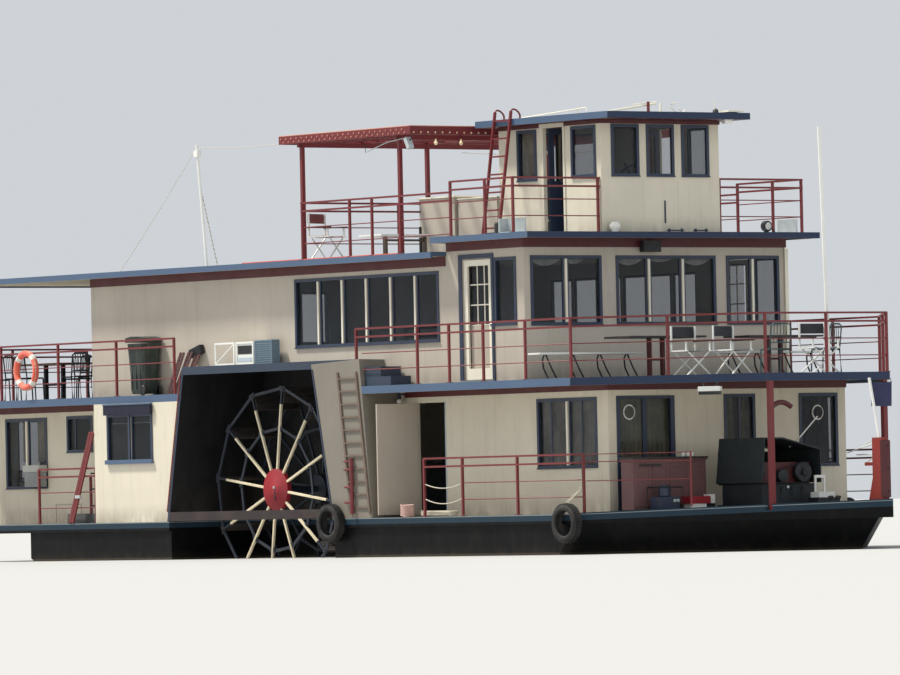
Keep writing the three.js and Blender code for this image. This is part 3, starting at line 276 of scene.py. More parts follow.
def paint(name, colour, rough=0.5, vary=0.06, streaks=0.18, foot=None, wear=0.35, under=None,
          waves=0.3, bands=(), boards=None, shine=0.5):
    """Weathered paint: patchy tone, run-down streaks, dirt at the foot, worn edges, brushed surface.
    bands are (axis, low, high, colour); boards is the axis and pitch of board or sheet joints."""
    g = Graph(name)
    tone = g.noise(0.9, 6)
    base = g.mix(g.ramp(tone, 0.3, 0.7), scaled(colour, 1 - vary), scaled(colour, 1 + vary))
    for axis, low, high, shade in bands:
        base = g.mix(g.between(axis, low, high), base, shade)
    runs = g.ramp(g.noise(1.0, 5, (5.0, 5.0, 0.5), 0.65, 3.0), 0.52, 0.80, 0.0, streaks)
    base = g.mix(runs, base, scaled(GRIME, 0.8))
    specks = g.ramp(g.noise(55.0, 3, offset=7.0), 0.66, 0.78, 0.0, streaks)
    base = g.mix(specks, base, scaled(colour, 0.55))
    if foot is not None:
        level, reach, strength = foot
        fade = g.ramp(g.axis("Z"), level, level + reach, strength, 0.0)
        base = g.mix(g.math("MULTIPLY", fade, g.ramp(g.noise(4.0, 6, (1, 1, 0.4)), 0.3, 0.6)), base, GRIME)
    if wear:
        edge = g.node("ShaderNodeBevel", {"Radius": 0.012}, samples=3).outputs["Normal"]
        flat = g.node("ShaderNodeNewGeometry").outputs["Normal"]
        dot = g.node("ShaderNodeVectorMath", operation="DOT_PRODUCT")
        g.feed(dot.inputs[0], edge)
        g.feed(dot.inputs[1], flat)
        worn = g.ramp(dot.outputs["Value"], 0.985, 0.90)
        worn = g.math("MULTIPLY", worn, g.ramp(g.noise(9.0, 5, offset=1.0), 0.46, 0.60, 0.0, wear))
        base = g.mix(worn, base, under or scaled(colour, 1.7))
    height = g.noise(120.0, 3)
    normal = g.bump(height, 0.12, 0.002)
    if waves:
        normal = g.bump(g.noise(1.6, 2, (1, 1, 0.6)), waves, 0.02, normal)
    if boards is not None:
        axis, pitch = boards
        step = g.math("FRACT", g.math("DIVIDE", g.axis(axis), pitch))
        joint = g.ramp(g.math("ABSOLUTE", g.math("SUBTRACT", step, 0.5)), 0.490, 0.498)
        base = g.mix(g.math("MULTIPLY", joint, 0.16), base, scaled(colour, 0.45))
        normal = g.bump(joint, -0.3, 0.003, normal)
    roughness = g.ramp(g.noise(3.0, 5, offset=5.0), 0.3, 0.7, rough - 0.08, rough + 0.12)
    return g.finish(base, roughness, normal, Specular_IOR_Level=shine)


def timber(name, colour, axis="X", rough=0.7, pitch=None):
    """Grained wood along one axis, with gaps between planks if pitch is given."""
    g = Graph(name)
    stretch = {"X": (0.35, 9, 9), "Y": (9, 0.35, 9), "Z": (9, 9, 0.35)}[axis]
    grain = g.noise(6.0, 7, stretch, 0.7)
    base = g.mix(g.ramp(grain, 0.3, 0.7), scaled(colour, 0.62), scaled(colour, 1.25))
    base = g.mix(g.ramp(g.noise(1.4, 5), 0.45, 0.75, 0.0, 0.45), base, scaled(GRIME, 0.7))
    normal = g.bump(grain, 0.35, 0.004)
    if pitch:
        across = "Y" if axis == "X" else "X"
        step = g.math("FRACT", g.math("DIVIDE", g.axis(across), pitch))
        joint = g.ramp(g.math("ABSOLUTE", g.math("SUBTRACT", step, 0.5)), 0.46, 0.49)
        base = g.mix(joint, base, scaled(colour, 0.2))
        normal = g.bump(joint, -0.8, 0.01, normal)
    return g.finish(base, g.ramp(grain, 0.3, 0.7, rough - 0.1, rough + 0.1), normal)


def woven(name, colour, second, rough=0.9, pitch=0.004):
    """Cloth with crossing threads, a slight sheen and faded patches."""
    g = Graph(name)
    waves = []
    for direction in ("X", "Y", "Z"):
        inputs = {"Vector": g.object_place, "Scale": WAVE_LENGTH / pitch, "Distortion": 0.4}
        waves.append(g.node("ShaderNodeTexWave", inputs, bands_direction=direction).outputs["Fac"])
    weave = g.math("ADD", g.math("MULTIPLY", waves[0], waves[1]), waves[2])
    base = g.mix(g.ramp(g.noise(2.5, 5), 0.35, 0.65), colour, second)
    base = g.mix(g.ramp(weave, 0.2, 1.4, 0.0, 0.2), base, scaled(colour, 0.6))
    return g.finish(base, rough, g.bump(weave, 0.3, 0.002), Sheen_Weight=0.25)


def plastic(name, colour):
    g = Graph(name)
    base = g.mix(g.ramp(g.noise(2.2, 6), 0.3, 0.7), scaled(colour, 0.85), scaled(colour, 1.2))
    dust = g.ramp(g.noise(3.0, 6, (3, 3, 0.6), offset=2.0), 0.5, 0.8, 0.0, 0.3)
    base = g.mix(dust, base, srgb(150, 145, 130))
    normal = g.bump(g.noise(260.0, 2), 0.25, 0.001)
    return g.finish(base, g.ramp(g.noise(5.0, 4), 0.3, 0.7, 0.34, 0.57), normal)


def rubber(name):
    g = Graph(name)
    base = g.mix(g.ramp(g.noise(7.0, 6), 0.35, 0.7), srgb(20, 20, 22), srgb(44, 43, 42))
    base = g.mix(g.ramp(g.noise(2.0, 5, offset=4.0), 0.5, 0.75, 0.0, 0.3), base, srgb(96, 90, 80))
    roughness = g.ramp(g.noise(9.0, 4), 0.3, 0.7, 0.7, 0.95)
    return g.finish(base, roughness, g.bump(g.noise(70.0, 4), 0.5, 0.003))


def metal(name, colour, rough=0.35, metallic=1.0):
    g = Graph(name)
    base = g.mix(g.ramp(g.noise(6.0, 6), 0.35, 0.7), scaled(colour, 0.75), colour)
    spots = g.ramp(g.noise(30.0, 5, offset=6.0), 0.62, 0.72, 0.0, 0.5)
    base = g.mix(spots, base, srgb(110, 82, 60))
    return g.finish(base, g.ramp(g.noise(14.0, 4), 0.3, 0.7, rough - 0.1, rough + 0.2),
                    g.bump(g.noise(90.0, 3), 0.15, 0.001), Metallic=metallic)


def twisted(name, colour, second):
    """Laid rope: strands that wind round it."""
    g = Graph(name)
    scale = WAVE_LENGTH / STRAND_PITCH
    inputs = {"Vector": g.object_place, "Scale": scale, "Distortion": 1.5, "Detail": 1.0}
    lay = g.node("ShaderNodeTexWave", inputs, bands_direction="DIAGONAL").outputs["Fac"]
    base = g.mix(g.ramp(lay, 0.2, 0.8), second, colour)
    return g.finish(base, 0.9, g.bump(lay, 0.6, 0.004))


def glazing(name, tint, alpha, rough=0.03):
    g = Graph(name)
    smear = g.noise(1.7, 6, (1, 1, 0.5))
    base = g.mix(g.ramp(smear, 0.35, 0.75), tint, scaled(tint, 2.2))
    return g.finish(base, g.ramp(smear, 0.3, 0.8, rough, rough + 0.05),
                    g.bump(g.noise(0.8, 2), 0.04, 0.02), Alpha=alpha, IOR=1.5)


CREAM = srgb(214, 206, 187)
BLUE = srgb(72, 94, 122)
MAROON = srgb(112, 38, 42)
BLACK = srgb(14, 15, 17)
# A darker greyish taupe that stands in for the shade on faces of the paddle boxes: painted shade
SHADED_TAUPE = srgb(128, 122, 112)
# The wall cream darkened as painted shade, for the upper deck's walls under the roof's eaves
UPPER_SHADED_CREAM = srgb(184, 175, 162)
# The blue trim darkened as painted shade, for the edges that face the bow
BOW_SHADE_BLUE = srgb(40, 54, 80)
RED = srgb(150, 34, 44)


def make_materials():
    deck_paint = srgb(120, 126, 130)
    teal, pale_line = srgb(40, 57, 70), srgb(140, 150, 152)
    black_side = [("Sheer", 0.605, 0.760, teal), ("Sheer", 0.705, 0.716, pale_line),
                  ("Z", -1.0, 0.045, srgb(58, 54, 46))]
    return {
        "cream": paint("cream_wall", CREAM, 0.55, boards=("X", 1.2), foot=(DECK, 0.35, 0.5)),
        "cream_across": paint("cream_wall_across", CREAM, 0.55, boards=("Y", 1.2), foot=(DECK, 0.35, 0.5)),
        # Painted shade: the upper deck's walls take the wall cream darkened
        "upper_shaded_cream": paint("upper_shade_wall", UPPER_SHADED_CREAM, 0.55, boards=("X", 2.4), foot=(UPPER, 0.3, 0.4)),
        "upper_shaded_across": paint("upper_across_wall_shaded", UPPER_SHADED_CREAM, 0.55, boards=("Y", 1.2),
                              foot=(UPPER, 0.3, 0.4)),
        "house_cream": paint("wheelhouse_wall", CREAM, 0.5, foot=(FORWARD_ROOF, 0.3, 0.35)),
        # Painted shade: the darker taupe of the paddle boxes' outboard panel and forward end
        "shaded_taupe": paint("panel_painted_shade", SHADED_TAUPE, 0.6, foot=(DECK, 0.4, 0.4)),
        "blue": paint("blue_trim", BLUE, 0.45, streaks=0.14, under=srgb(120, 132, 148)),
        # Painted shade: the blue trim darkened for the edges that face the bow
        "bow_shade_blue": paint("bow_shade_blue_trim", BOW_SHADE_BLUE, 0.5, streaks=0.12, under=srgb(100, 112, 130),
                           shine=0.3),
        "blind_navy": paint("blind_box_navy", srgb(26, 28, 48), 0.5, streaks=0.1, wear=0.1, shine=0.3),
        "box_blue": paint("paddle_box_blue", srgb(42, 55, 74), 0.5, streaks=0.14,
                          under=srgb(100, 112, 130)),
        "frame_blue": paint("window_blue", srgb(40, 52, 74), 0.4, streaks=0.08, waves=0.0),
        "maroon": paint("maroon_rail", MAROON, 0.42, streaks=0.10, under=srgb(150, 96, 84), waves=0.0),
        "maroon_trim": paint("maroon_trim", srgb(80, 26, 30), 0.5, streaks=0.12),
        "red": paint("hub_red", RED, 0.5, streaks=0.12, under=srgb(90, 60, 50)),
        "black": paint("hull_black", BLACK, 0.42, vary=0.2, streaks=0.10, bands=black_side, waves=0.4,
                       foot=(-0.05, 0.25, 0.2), wear=0.2, under=srgb(70, 62, 56), shine=0.12),
        "box_black": paint("paddle_box_black", srgb(17, 18, 21), 0.6, vary=0.25, streaks=0.12,
                           foot=(DECK, 0.8, 0.3), wear=0.2),
        "wheel_blue": paint("wheel_blue", srgb(34, 42, 54), 0.5, streaks=0.15, under=srgb(96, 84, 74)),
        "spoke": paint("spoke_cream", srgb(232, 218, 186), 0.55, streaks=0.25, foot=(0.0, 0.7, 0.5)),
        "white": paint("white_paint", srgb(232, 232, 226), 0.4, streaks=0.15, wear=0.2),
        "bow_red": paint("bow_post_red", srgb(134, 46, 38), 0.5, streaks=0.2, under=srgb(110, 80, 64)),
        "door_greige": paint("door_greige", srgb(176, 166, 152), 0.55, streaks=0.12, foot=(DECK, 0.3, 0.3)),
        "mullion": paint("mullion_cream", srgb(232, 226, 208), 0.45, streaks=0.08, wear=0.0, waves=0.0),
        "roof": paint("roof_grey", srgb(150, 156, 160), 0.65, vary=0.1, streaks=0.25),
        "deck": timber("deck_boards", srgb(112, 104, 94), "X", 0.75, 0.14),
        "deck_paint": paint("deck_paint", deck_paint, 0.65, vary=0.12, streaks=0.3, wear=0.0),
        "underside": paint("deck_underside", srgb(188, 178, 152), 0.7, boards=("X", 0.6), wear=0.0),
        "umber": timber("dark_timber", srgb(46, 34, 36), "X", 0.7),
        "float_wood": timber("float_timber", srgb(52, 46, 44), "Y", 0.75),
        "plank": timber("varnished_plank", srgb(120, 74, 48), "Z", 0.5),
        "ladder": metal("ladder_steel", srgb(126, 109, 97), 0.5, 0.3),
        "steel": metal("bare_steel", srgb(170, 172, 176), 0.3),
        "dark_steel": metal("dark_steel", srgb(60, 62, 66), 0.45, 0.7),
        "engine": metal("engine_iron", srgb(78, 83, 86), 0.5, 0.5),
        "bin": plastic("bin_plastic", srgb(40, 52, 48)),
        "black_plastic": plastic("black_plastic", srgb(26, 27, 30)),
        "grey_plastic": plastic("grey_plastic", srgb(176, 184, 186)),
        "buoy": woven("buoy_canvas", srgb(222, 74, 56), srgb(236, 120, 96), 0.7, 0.006),
        "band": woven("buoy_band", srgb(238, 236, 228), srgb(214, 210, 200), 0.7, 0.006),
        "curtain": woven("curtain_cloth", srgb(206, 196, 172), srgb(176, 166, 146)),
        "pelmet": woven("pelmet_cloth", srgb(226, 226, 220), srgb(190, 192, 190)),
        "tyre": rubber("old_tyre"),
        "rope": twisted("white_rope", srgb(232, 226, 208), srgb(150, 142, 122)),
        "rail_pale": paint("maroon_top_edge", srgb(206, 142, 120), 0.5, streaks=0.05),
        "pale_blue": paint("pale_blue_edge", srgb(186, 200, 208), 0.5, streaks=0.1),
        "cooler_paint": paint("cooler_grey_blue", srgb(104, 124, 138), 0.5, streaks=0.1, waves=0.0),
        "cabinet_red": paint("cabinet_red_brown", srgb(108, 76, 76), 0.55, streaks=0.12,
                             foot=(DECK, 0.3, 0.3)),
        "machine_red": paint("machine_dark_red", srgb(74, 24, 28), 0.5, vary=0.2, streaks=0.2),
        "hood_green": paint("hood_green_black", srgb(30, 38, 42), 0.6, vary=0.2, streaks=0.1),
        "teal_steel": paint("teal_steel", srgb(48, 76, 78), 0.4, streaks=0.1, waves=0.0),
        "dark_board": timber("dark_board", srgb(52, 46, 46), "Y", 0.55),
        "dark_cloth": woven("dark_canvas", srgb(34, 36, 42), srgb(60, 62, 68)),
        "maroon_cloth": woven("maroon_canvas", srgb(112, 42, 44), srgb(134, 66, 60)),
        "grey_curtain": woven("grey_curtain", srgb(196, 192, 180), srgb(140, 138, 130)),
        "khaki_curtain": woven("khaki_curtain", srgb(176, 170, 140), srgb(136, 132, 108)),
        "navy_cloth": woven("navy_cloth", srgb(34, 40, 84), srgb(26, 30, 62), 0.8),
        "orange_red": paint("orange_red_edge", srgb(214, 84, 58), 0.6, streaks=0.1),
        "flecked_rope": twisted("flecked_rope", srgb(226, 220, 208), srgb(176, 84, 78)),
        "appliance_grey": plastic("appliance_grey", srgb(138, 142, 142)),
        "pale_grey": plastic("pale_grey", srgb(176, 176, 170)),
        "bulb": glazing("warm_bulb", srgb(236, 196, 150), 0.9, 0.1),
        "glass": glazing("window_glass", srgb(30, 36, 42), 0.32),
        "lamp_glass": glazing("lamp_glass", srgb(235, 232, 220), 0.75, 0.1),
    }


# Shapes

# Faces of a box by its corners: PRISM_FACES has four round one end and four round the other,
# GRID_FACES has them in order of rows
PRISM_FACES = [(0, 1, 2, 3), (4, 7, 6, 5), (0, 4, 5, 1), (1, 5, 6, 2), (2, 6, 7, 3), (3, 7, 4, 0)]
GRID_FACES = [(0, 1, 3, 2), (4, 6, 7, 5), (0, 4, 5, 1), (2, 3, 7, 6), (0, 2, 6, 4), (1, 5, 7, 3)]
SHARP = math.radians(40)


def as_drawn(x, y, z):
    return (x, y, z)


class Shape:
    """Collects closed solids, each with a material number, and makes one object of them."""

    def __init__(self, place=None):
        self.verts, self.faces, self.tags = [], [], []
        self.place = place or as_drawn

    def put(self, verts, faces, tag=0):
        start = len(self.verts)
        self.verts += [self.place(*v) for v in verts]
        self.faces += [tuple(start + i for i in face) for face in faces]
        self.tags += [tag] * len(faces)

    def block(self, x0, x1, y0, y1, z0, z1, tag=0):
        corners = [(x, y, z) for z in (z0, z1) for y in (y0, y1) for x in (x0, x1)]
        self.put(corners, GRID_FACES, tag)

    def blocks(self, boxes, tag=0):
        """Several blocks with one material, each (x0, x1, y0, y1, z0, z1)."""
        for box in boxes:
            self.block(*box, tag)

    def prism(self, outline, y0, y1, tag=0):
        """An outline of (x, z) points, pushed along Y."""
        count = len(outline)
        verts = [(x, y, z) for y in (y0, y1) for x, z in outline]
        sides = [(i, (i + 1) % count, count + (i + 1) % count, count + i) for i in range(count)]
        self.put(verts, [tuple(range(count)), tuple(range(2 * count - 1, count - 1, -1)), *sides], tag)

    def sweep(self, path, section, tag=0, closed=False):
        """Carries a flat section (across, up) along a path of points."""
        points = [Vector(p) for p in path]
        count, sides = len(points), len(section)
        verts, faces = [], []
        for i, point in enumerate(points):
            before = points[i - 1] if i or closed else points[i]
            after = points[(i + 1) % count] if i < count - 1 or closed else points[i]
            along = (after - before).normalized()
            side = along.cross(Vector((0, 0, 1)))
            side = Vector((1, 0, 0)) if side.length < 1e-4 else side.normalized()
            up = side.cross(along)
            verts += [tuple(point + side * a + up * b) for a, b in section]
        for i in range(count if closed else count - 1):
            j = (i + 1) % count
            for k in range(sides):
                m = (k + 1) % sides
                faces.append((i * sides + k, i * sides + m, j * sides + m, j * sides + k))
        if not closed:
            faces += [tuple(range(sides)), tuple(range(count * sides - 1, (count - 1) * sides - 1, -1))]
        self.put(verts, faces, tag)

    def tube(self, path, radius, tag=0, sides=8, closed=False):
        turn = 2 * math.pi / sides
        section = [(radius * math.cos(i * turn), radius * math.sin(i * turn)) for i in range(sides)]
        self.sweep(path, section, tag, closed)

    def bar(self, start, end, wide, high, tag=0):
        a, b = wide / 2, high / 2
        self.sweep([start, end], [(-a, -b), (a, -b), (a, b), (-a, b)], tag)

    def lathe(self, profile, centre, axis="Z", sides=24, tag=0, closed=False):
        """Turns (radius, height) points round an axis; closed joins the last to the first."""
        spin = {
            "Z": lambda r, h, a: (r * math.cos(a), r * math.sin(a), h),
            "Y": lambda r, h, a: (r * math.cos(a), h, r * math.sin(a)),
            "X": lambda r, h, a: (h, r * math.cos(a), r * math.sin(a)),
        }[axis]
        verts, rings = [], []
        for radius, height in profile:
            if radius < 1e-6:
                rings.append([len(verts)] * sides)
                verts.append(spin(0, height, 0))
            else:
                rings.append(list(range(len(verts), len(verts) + sides)))
                verts += [spin(radius, height, 2 * math.pi * i / sides) for i in range(sides)]
        faces = []
        pairs = list(zip(rings, rings[1:] + rings[:1])) if closed else list(zip(rings, rings[1:]))
        for low, high in pairs:
            for i in range(sides):
                j = (i + 1) % sides
                corners = dict.fromkeys((low[i], low[j], high[j], high[i]))
                if len(corners) > 2:
                    faces.append(tuple(corners))
        self.put([tuple(Vector(centre) + Vector(v)) for v in verts], faces, tag)

    def cloth(self, rows, lift):
        """A thin closed sheet over rows of points, as thick as lift."""
        count, wide = len(rows), len(rows[0])
        points = [point for row in rows for point in row]
        half = len(points)
        faces = []
        for i in range(count - 1):
            for j in range(wide - 1):
                a, b = i * wide + j, i * wide + j + 1
                c, d = b + wide, a + wide
                faces += [(a, b, c, d), (half + a, half + d, half + c, half + b)]
        edge = [*range(wide), *(i * wide + wide - 1 for i in range(1, count))]
        edge += [(count - 1) * wide + j for j in range(wide - 2, -1, -1)]
        edge += [i * wide for i in range(count - 2, 0, -1)]
        faces += [(a, half + a, half + b, b) for a, b in zip(edge, edge[1:] + edge[:1])]
        self.put(points + [tuple(a + b for a, b in zip(p, lift)) for p in points], faces)

    def make(self, name, body, materials, slot, bevel=0.0, smooth=False, replaces=()):
        mesh = bpy.data.meshes.new(name)
        mesh.from_pydata(self.verts, [], self.faces)
        for material in materials:
            mesh.materials.append(MATERIALS[material])
        for polygon, tag in zip(mesh.polygons, self.tags):
            polygon.material_index = tag
            polygon.use_smooth = smooth
        edit = bmesh.new()
        edit.from_mesh(mesh)
        bmesh.ops.recalc_face_normals(edit, faces=edit.faces)
        edit.to_mesh(mesh)
        edit.free()
        piece = bpy.data.objects.new(name, mesh)
        bpy.context.scene.collection.objects.link(piece)
        if bevel:
            rounding = piece.modifiers.new("rounding", "BEVEL")
            rounding.width, rounding.segments = bevel, 2
            rounding.limit_method, rounding.angle_limit = "ANGLE", SHARP
        if smooth:
            mesh.set_sharp_from_angle(angle=SHARP)
        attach(piece, body)
        if replaces:
            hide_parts(*replaces)
        return piece


def on_side(side, face):
    """Places (along, out, up) on a wall that faces starboard (-1) or port (+1)."""
    return lambda u, w, v: (u, side * (face + w), v)


def on_end(way, face):
    """Places (across, out, up) on a wall that faces the bow (+1) or the stern (-1)."""
    return lambda u, w, v: (face + way * w, u, v)


# Finishes of the frame's own nodes

def dress(node, *materials, choose=None):
    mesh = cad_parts[node].data
    mesh.materials.clear()
    for material in materials:
        mesh.materials.append(MATERIALS[material])
    for polygon in mesh.polygons:
        polygon.material_index = choose(polygon.center, polygon.normal) if choose else 0


def box_half(z):
    """Half the length of the paddle box's opening at a height."""
    return 2.63 - (2.63 - 2.04) * (z - DECK) / (BOX_TOP - DECK)


BOX_LOOKS = ("cream", "box_black", "shaded_taupe", "ladder", "umber", "box_blue", "deck_paint", "frame_blue")


def paddle_box_look(centre, normal):
    """The look of a face of the paddle box, told from its place: ladder, guard beam, head, top and so on."""
    x, y, z = centre.x, abs(centre.y), centre.z
    outward = abs(normal.y) > 0.9 and y > 3.59
    if y > 3.601:
        return "ladder"
    if z < 0.905 and y > 3.46 and abs(x) < box_half(z) + 0.02:
        return "umber"
    if z > BOX_TOP - 0.16 and y > 3.53 and abs(x) < box_half(z) + 0.05:
        return "box_blue"
    if z > BOX_TOP - 0.005:
        return "deck_paint"
    if outward and x < 0:
        return "frame_blue"
    # The outboard faces forward of the middle and the box's forward end take the darker taupe as painted
    # shade
    if outward or (x > 3.4 and y > 2.5):
        return "shaded_taupe"
    if abs(x) < box_half(z) + 0.012 and y > BOX_BACK_Y:
        return "box_black"
    return "cream"


def by_up(top, side, bottom, bow=None):
    """The finish of a deck's top, edge and underside, and of the edge that faces the bow, which takes a
    darker finish as painted shade.
    """
    def pick(centre, normal):
        if normal.z > 0.9:
            return top
        if normal.z < -0.9:
            return bottom
        # An edge that faces the bow takes the darker finish, painted shade
        return bow if bow is not None and normal.x > 0.3 else side
    return pick


def dress_frame():
    dress("hull", "black")
    dress("main_deck", "deck", "black", choose=lambda c, n: 0 if n.z > 0.9 and c.z < 0.73 else 1)
    # The edges of the decks and roofs that face the bow take the darker blue as painted shade
    dress("upper_deck", "deck_paint", "blue", "underside", "bow_shade_blue", choose=by_up(0, 1, 2, 3))
    dress("aft_roof", "roof", "blue", "underside", choose=by_up(0, 1, 2))
    dress("forward_roof", "roof", "blue", "underside", "bow_shade_blue", choose=by_up(0, 1, 2, 3))
    dress("wheelhouse_roof", "roof", "blue", "maroon_trim", "bow_shade_blue", choose=by_up(0, 1, 2, 3))
    for side in SIDES:
        name = SIDE_NAMES[side]
        dress("paddle_box_" + name, *BOX_LOOKS, choose=lambda c, n: BOX_LOOKS.index(paddle_box_look(c, n)))
        dress("main_side_forward_" + name, "cream")
        dress("main_side_aft_" + name, "cream", "cream_across", choose=lambda c, n: int(abs(n.x) > 0.9))
        # The saloon's side walls take the darker cream, painted shade
        dress("upper_side_" + name, "upper_shaded_cream")
        dress("main_door_" + name, "door_greige")
        dress("upper_door_" + name, "mullion")
        dress("wheelhouse_door_" + name, "frame_blue")
        dress("rudder_" + name, "black")
        for rail in ("main_rail_forward_", "main_rail_aft_", "corner_post_"):
            dress(rail + name, "maroon")
        for place in ("tyre_fender_aft_", "tyre_fender_forward_"):
            dress(place + name, "tyre")
    for node in ("main_front", "main_aft"):
        dress(node, "cream_across")
    # The saloon's end walls take the darker cream, painted shade
    for node in ("upper_front", "upper_aft"):
        dress(node, "upper_shaded_across")
    dress("wheelhouse", "house_cream")
    dress("front_sliding_door", "frame_blue")
    dress("stern_door", "cream_across")
    for node in ("upper_rail_forward", "upper_rail_aft", "stern_rail", "roof_rail", "pergola",
                 "house_ladder"):
        dress(node, "maroon")
    for node, look in (
            ("engine", "engine"), ("helm_console", "umber"), ("helm_wheel", "umber"),
            ("jackstaff", "white"), ("lamp_pole", "white"), ("box_steps", "box_blue"),
            ("cooler_unit", "blue"), ("white_chest", "white"), ("wheeled_bin", "bin"),
            ("lifebuoy", "buoy"), ("foredeck_housing", "black_plastic"),
            ("foredeck_bench", "maroon_trim")):
        dress(node, look)
    dress("bow_post", "bow_red", "white", choose=lambda c, n: int(c.z > 1.951))


# Windows: openings are (from, to, sill, head, panes) along their wall

MULLION = 0.06
FRAME_WIDE = 0.048
LAP = 0.012
SWAG_TOP = 5.385
MAIN_SIDE = [(7.75, 9.48, 1.54, 2.78, 2), (-9.41, -7.98, 1.42, 2.78, 2), (-7.27, -6.40, 2.10, 2.79, 1)]
SIDE_CABIN = [(-4.62, -3.12, 1.86, 2.78, 2)]
MAIN_FRONT = [(-0.09, 0.61, 1.50, 2.80, 1), (1.65, 2.53, 1.50, 2.80, 1)]
MAIN_AFT = [(-2.30, -1.10, 1.54, 2.78, 2), (1.10, 2.30, 1.54, 2.78, 2)]
SALOON = [(0.80, 5.26, 3.90, 5.17, 6), (6.95, 7.58, 4.14, 5.35, 1)]
UPPER_FRONT = [(-2.87, -1.27, 4.12, 5.36, 2), (-0.92, 1.37, 4.12, 5.36, 3), (1.64, 2.86, 4.12, 5.36, 2)]
UPPER_AFT = [(-2.60, -1.20, 4.14, 5.17, 2), (1.20, 2.60, 4.14, 5.17, 2)]
HOUSE_SIDE = [(5.54, 6.11, 6.80, 7.72, 1), (7.15, 7.86, 6.80, 7.72, 1)]
HOUSE_FRONT = [(-1.12, -0.50, 6.80, 7.73, 1), (-0.31, 0.31, 6.80, 7.73, 1), (0.50, 1.12, 6.80, 7.73, 1)]
HOUSE_AFT = [(-0.90, 0.90, 6.80, 7.72, 2)]


def panes(window):
    start, end, sill, head, count = window
    width = (end - start - MULLION * (count - 1)) / count
    return [(start + i * (width + MULLION), start + i * (width + MULLION) + width, sill, head)
            for i in range(count)]


def border(shape, u0, u1, v0, v1, width, w0, w1):
    """Four mitred boards round a rectangle, inside it by their width."""
    a0, a1, b0, b1 = u0 + width, u1 - width, v0 + width, v1 - width
    inner = [(a0, b0), (a1, b0), (a1, b1), (a0, b1)]
    outer = [(u0, v0), (u1, v0), (u1, v1), (u0, v1)]
    for i in range(4):
        j = (i + 1) % 4
        corners = [outer[i], outer[j], inner[j], inner[i]]
        shape.put([(u, w, v) for w in (w0, w1) for u, v in corners], PRISM_FACES)


def window_set(name, walls):
    """Frames round the openings of some walls, with their mullions, sashes and glass."""
    frames, glass = Shape(), Shape()
    for place, windows in walls:
        frames.place = glass.place = place
        for window in windows:
            start, end, sill, head = window[:4]
            border(frames, start - LAP, end + LAP, sill - LAP, head + LAP, FRAME_WIDE + LAP, NEAR, 0.018)
            frames.block(start - 0.02, end + 0.02, 0.0185, 0.034, sill - LAP, sill + 0.010)
            for index, (u0, u1, v0, v1) in enumerate(panes(window)):
                border(frames, u0 + 0.002, u1 - 0.002, v0 + 0.002, v1 - 0.002, 0.038, -0.050, -0.014)
                glass.block(u0 + 0.03, u1 - 0.03, -0.036, -0.030, v0 + 0.03, v1 - 0.03)
                if index:
                    low, high = sill + FRAME_WIDE + 0.002, head - FRAME_WIDE - 0.002
                    frames.block(u0 - MULLION + 0.006, u0 - 0.006, NEAR, 0.014, low, high, 1)
    frames.make(name + "_frames", "boat", ["frame_blue", "mullion"], "blue_paint", bevel=0.004)
    glass.make(name + "_glass", "boat", ["glass"], "blue_paint")


def make_windows():
    main = [(on_side(s, MAIN_Y), MAIN_SIDE) for s in SIDES]
    main += [(on_side(s, BEAM), SIDE_CABIN) for s in SIDES]
    main += [(on_end(1, MAIN_FRONT_X), MAIN_FRONT), (on_end(-1, MAIN_AFT_X), MAIN_AFT)]
    window_set("main_window", main)
    upper = [(on_side(s, UPPER_Y), SALOON) for s in SIDES]
    upper += [(on_end(1, UPPER_FRONT_X), UPPER_FRONT), (on_end(-1, UPPER_AFT_X), UPPER_AFT)]
    window_set("saloon_window", upper)
    house = [(on_side(s, HOUSE_Y), HOUSE_SIDE) for s in SIDES]
    house += [(on_end(1, HOUSE_FRONT_X), HOUSE_FRONT), (on_end(-1, HOUSE_AFT_X), HOUSE_AFT)]
    window_set("wheelhouse_window", house)


# Curtains inside the windows, each a pleated cloth under a rod: (from, to, top, bottom, cloth)

PLEAT_PITCH = 0.10
PLEAT_DEEP = 0.012
CURTAIN_DEPTH = 0.095
FRONT_CURTAIN_DEPTH = 0.128
MAIN_CURTAINS = [
    (7.80, 8.56, 2.84, 1.46, "grey_curtain"), (8.67, 9.43, 2.84, 1.46, "grey_curtain"),
    (-8.95, -8.73, 2.84, 1.94, "curtain"), (-8.44, -8.20, 2.84, 1.94, "curtain"),
    (-8.18, -8.00, 2.84, 1.36, "grey_curtain"),
]
FRONT_CURTAINS = [
    (-2.43, -1.90, 2.875, 0.86, "khaki_curtain"), (-1.80, -1.27, 2.875, 0.86, "khaki_curtain"),
    (-0.06, 0.22, 2.875, 1.42, "khaki_curtain"), (0.32, 0.58, 2.875, 1.42, "khaki_curtain"),
]
HOUSE_CURTAINS = [(5.57, 6.08, 7.78, 6.72, "curtain")]
SWAGS = [
    (-2.84, -2.12, 0.20), (-2.03, -1.60, 0.17), (-0.89, -0.24, 0.19), (-0.13, 0.42, 0.13),
    (0.66, 1.33, 0.19),
]
SWAG_HEM = 0.09


def rod_for(rods, u0, u1, top, depth):
    height = top + 0.009
    rods.tube([(u0 - 0.03, -depth, height), (u1 + 0.03, -depth, height)], 0.008, sides=8)
    for u in (u0 - 0.02, u1 + 0.02):
        rods.bar((u, -depth, height), (u, -0.0605, height), 0.012, 0.012)


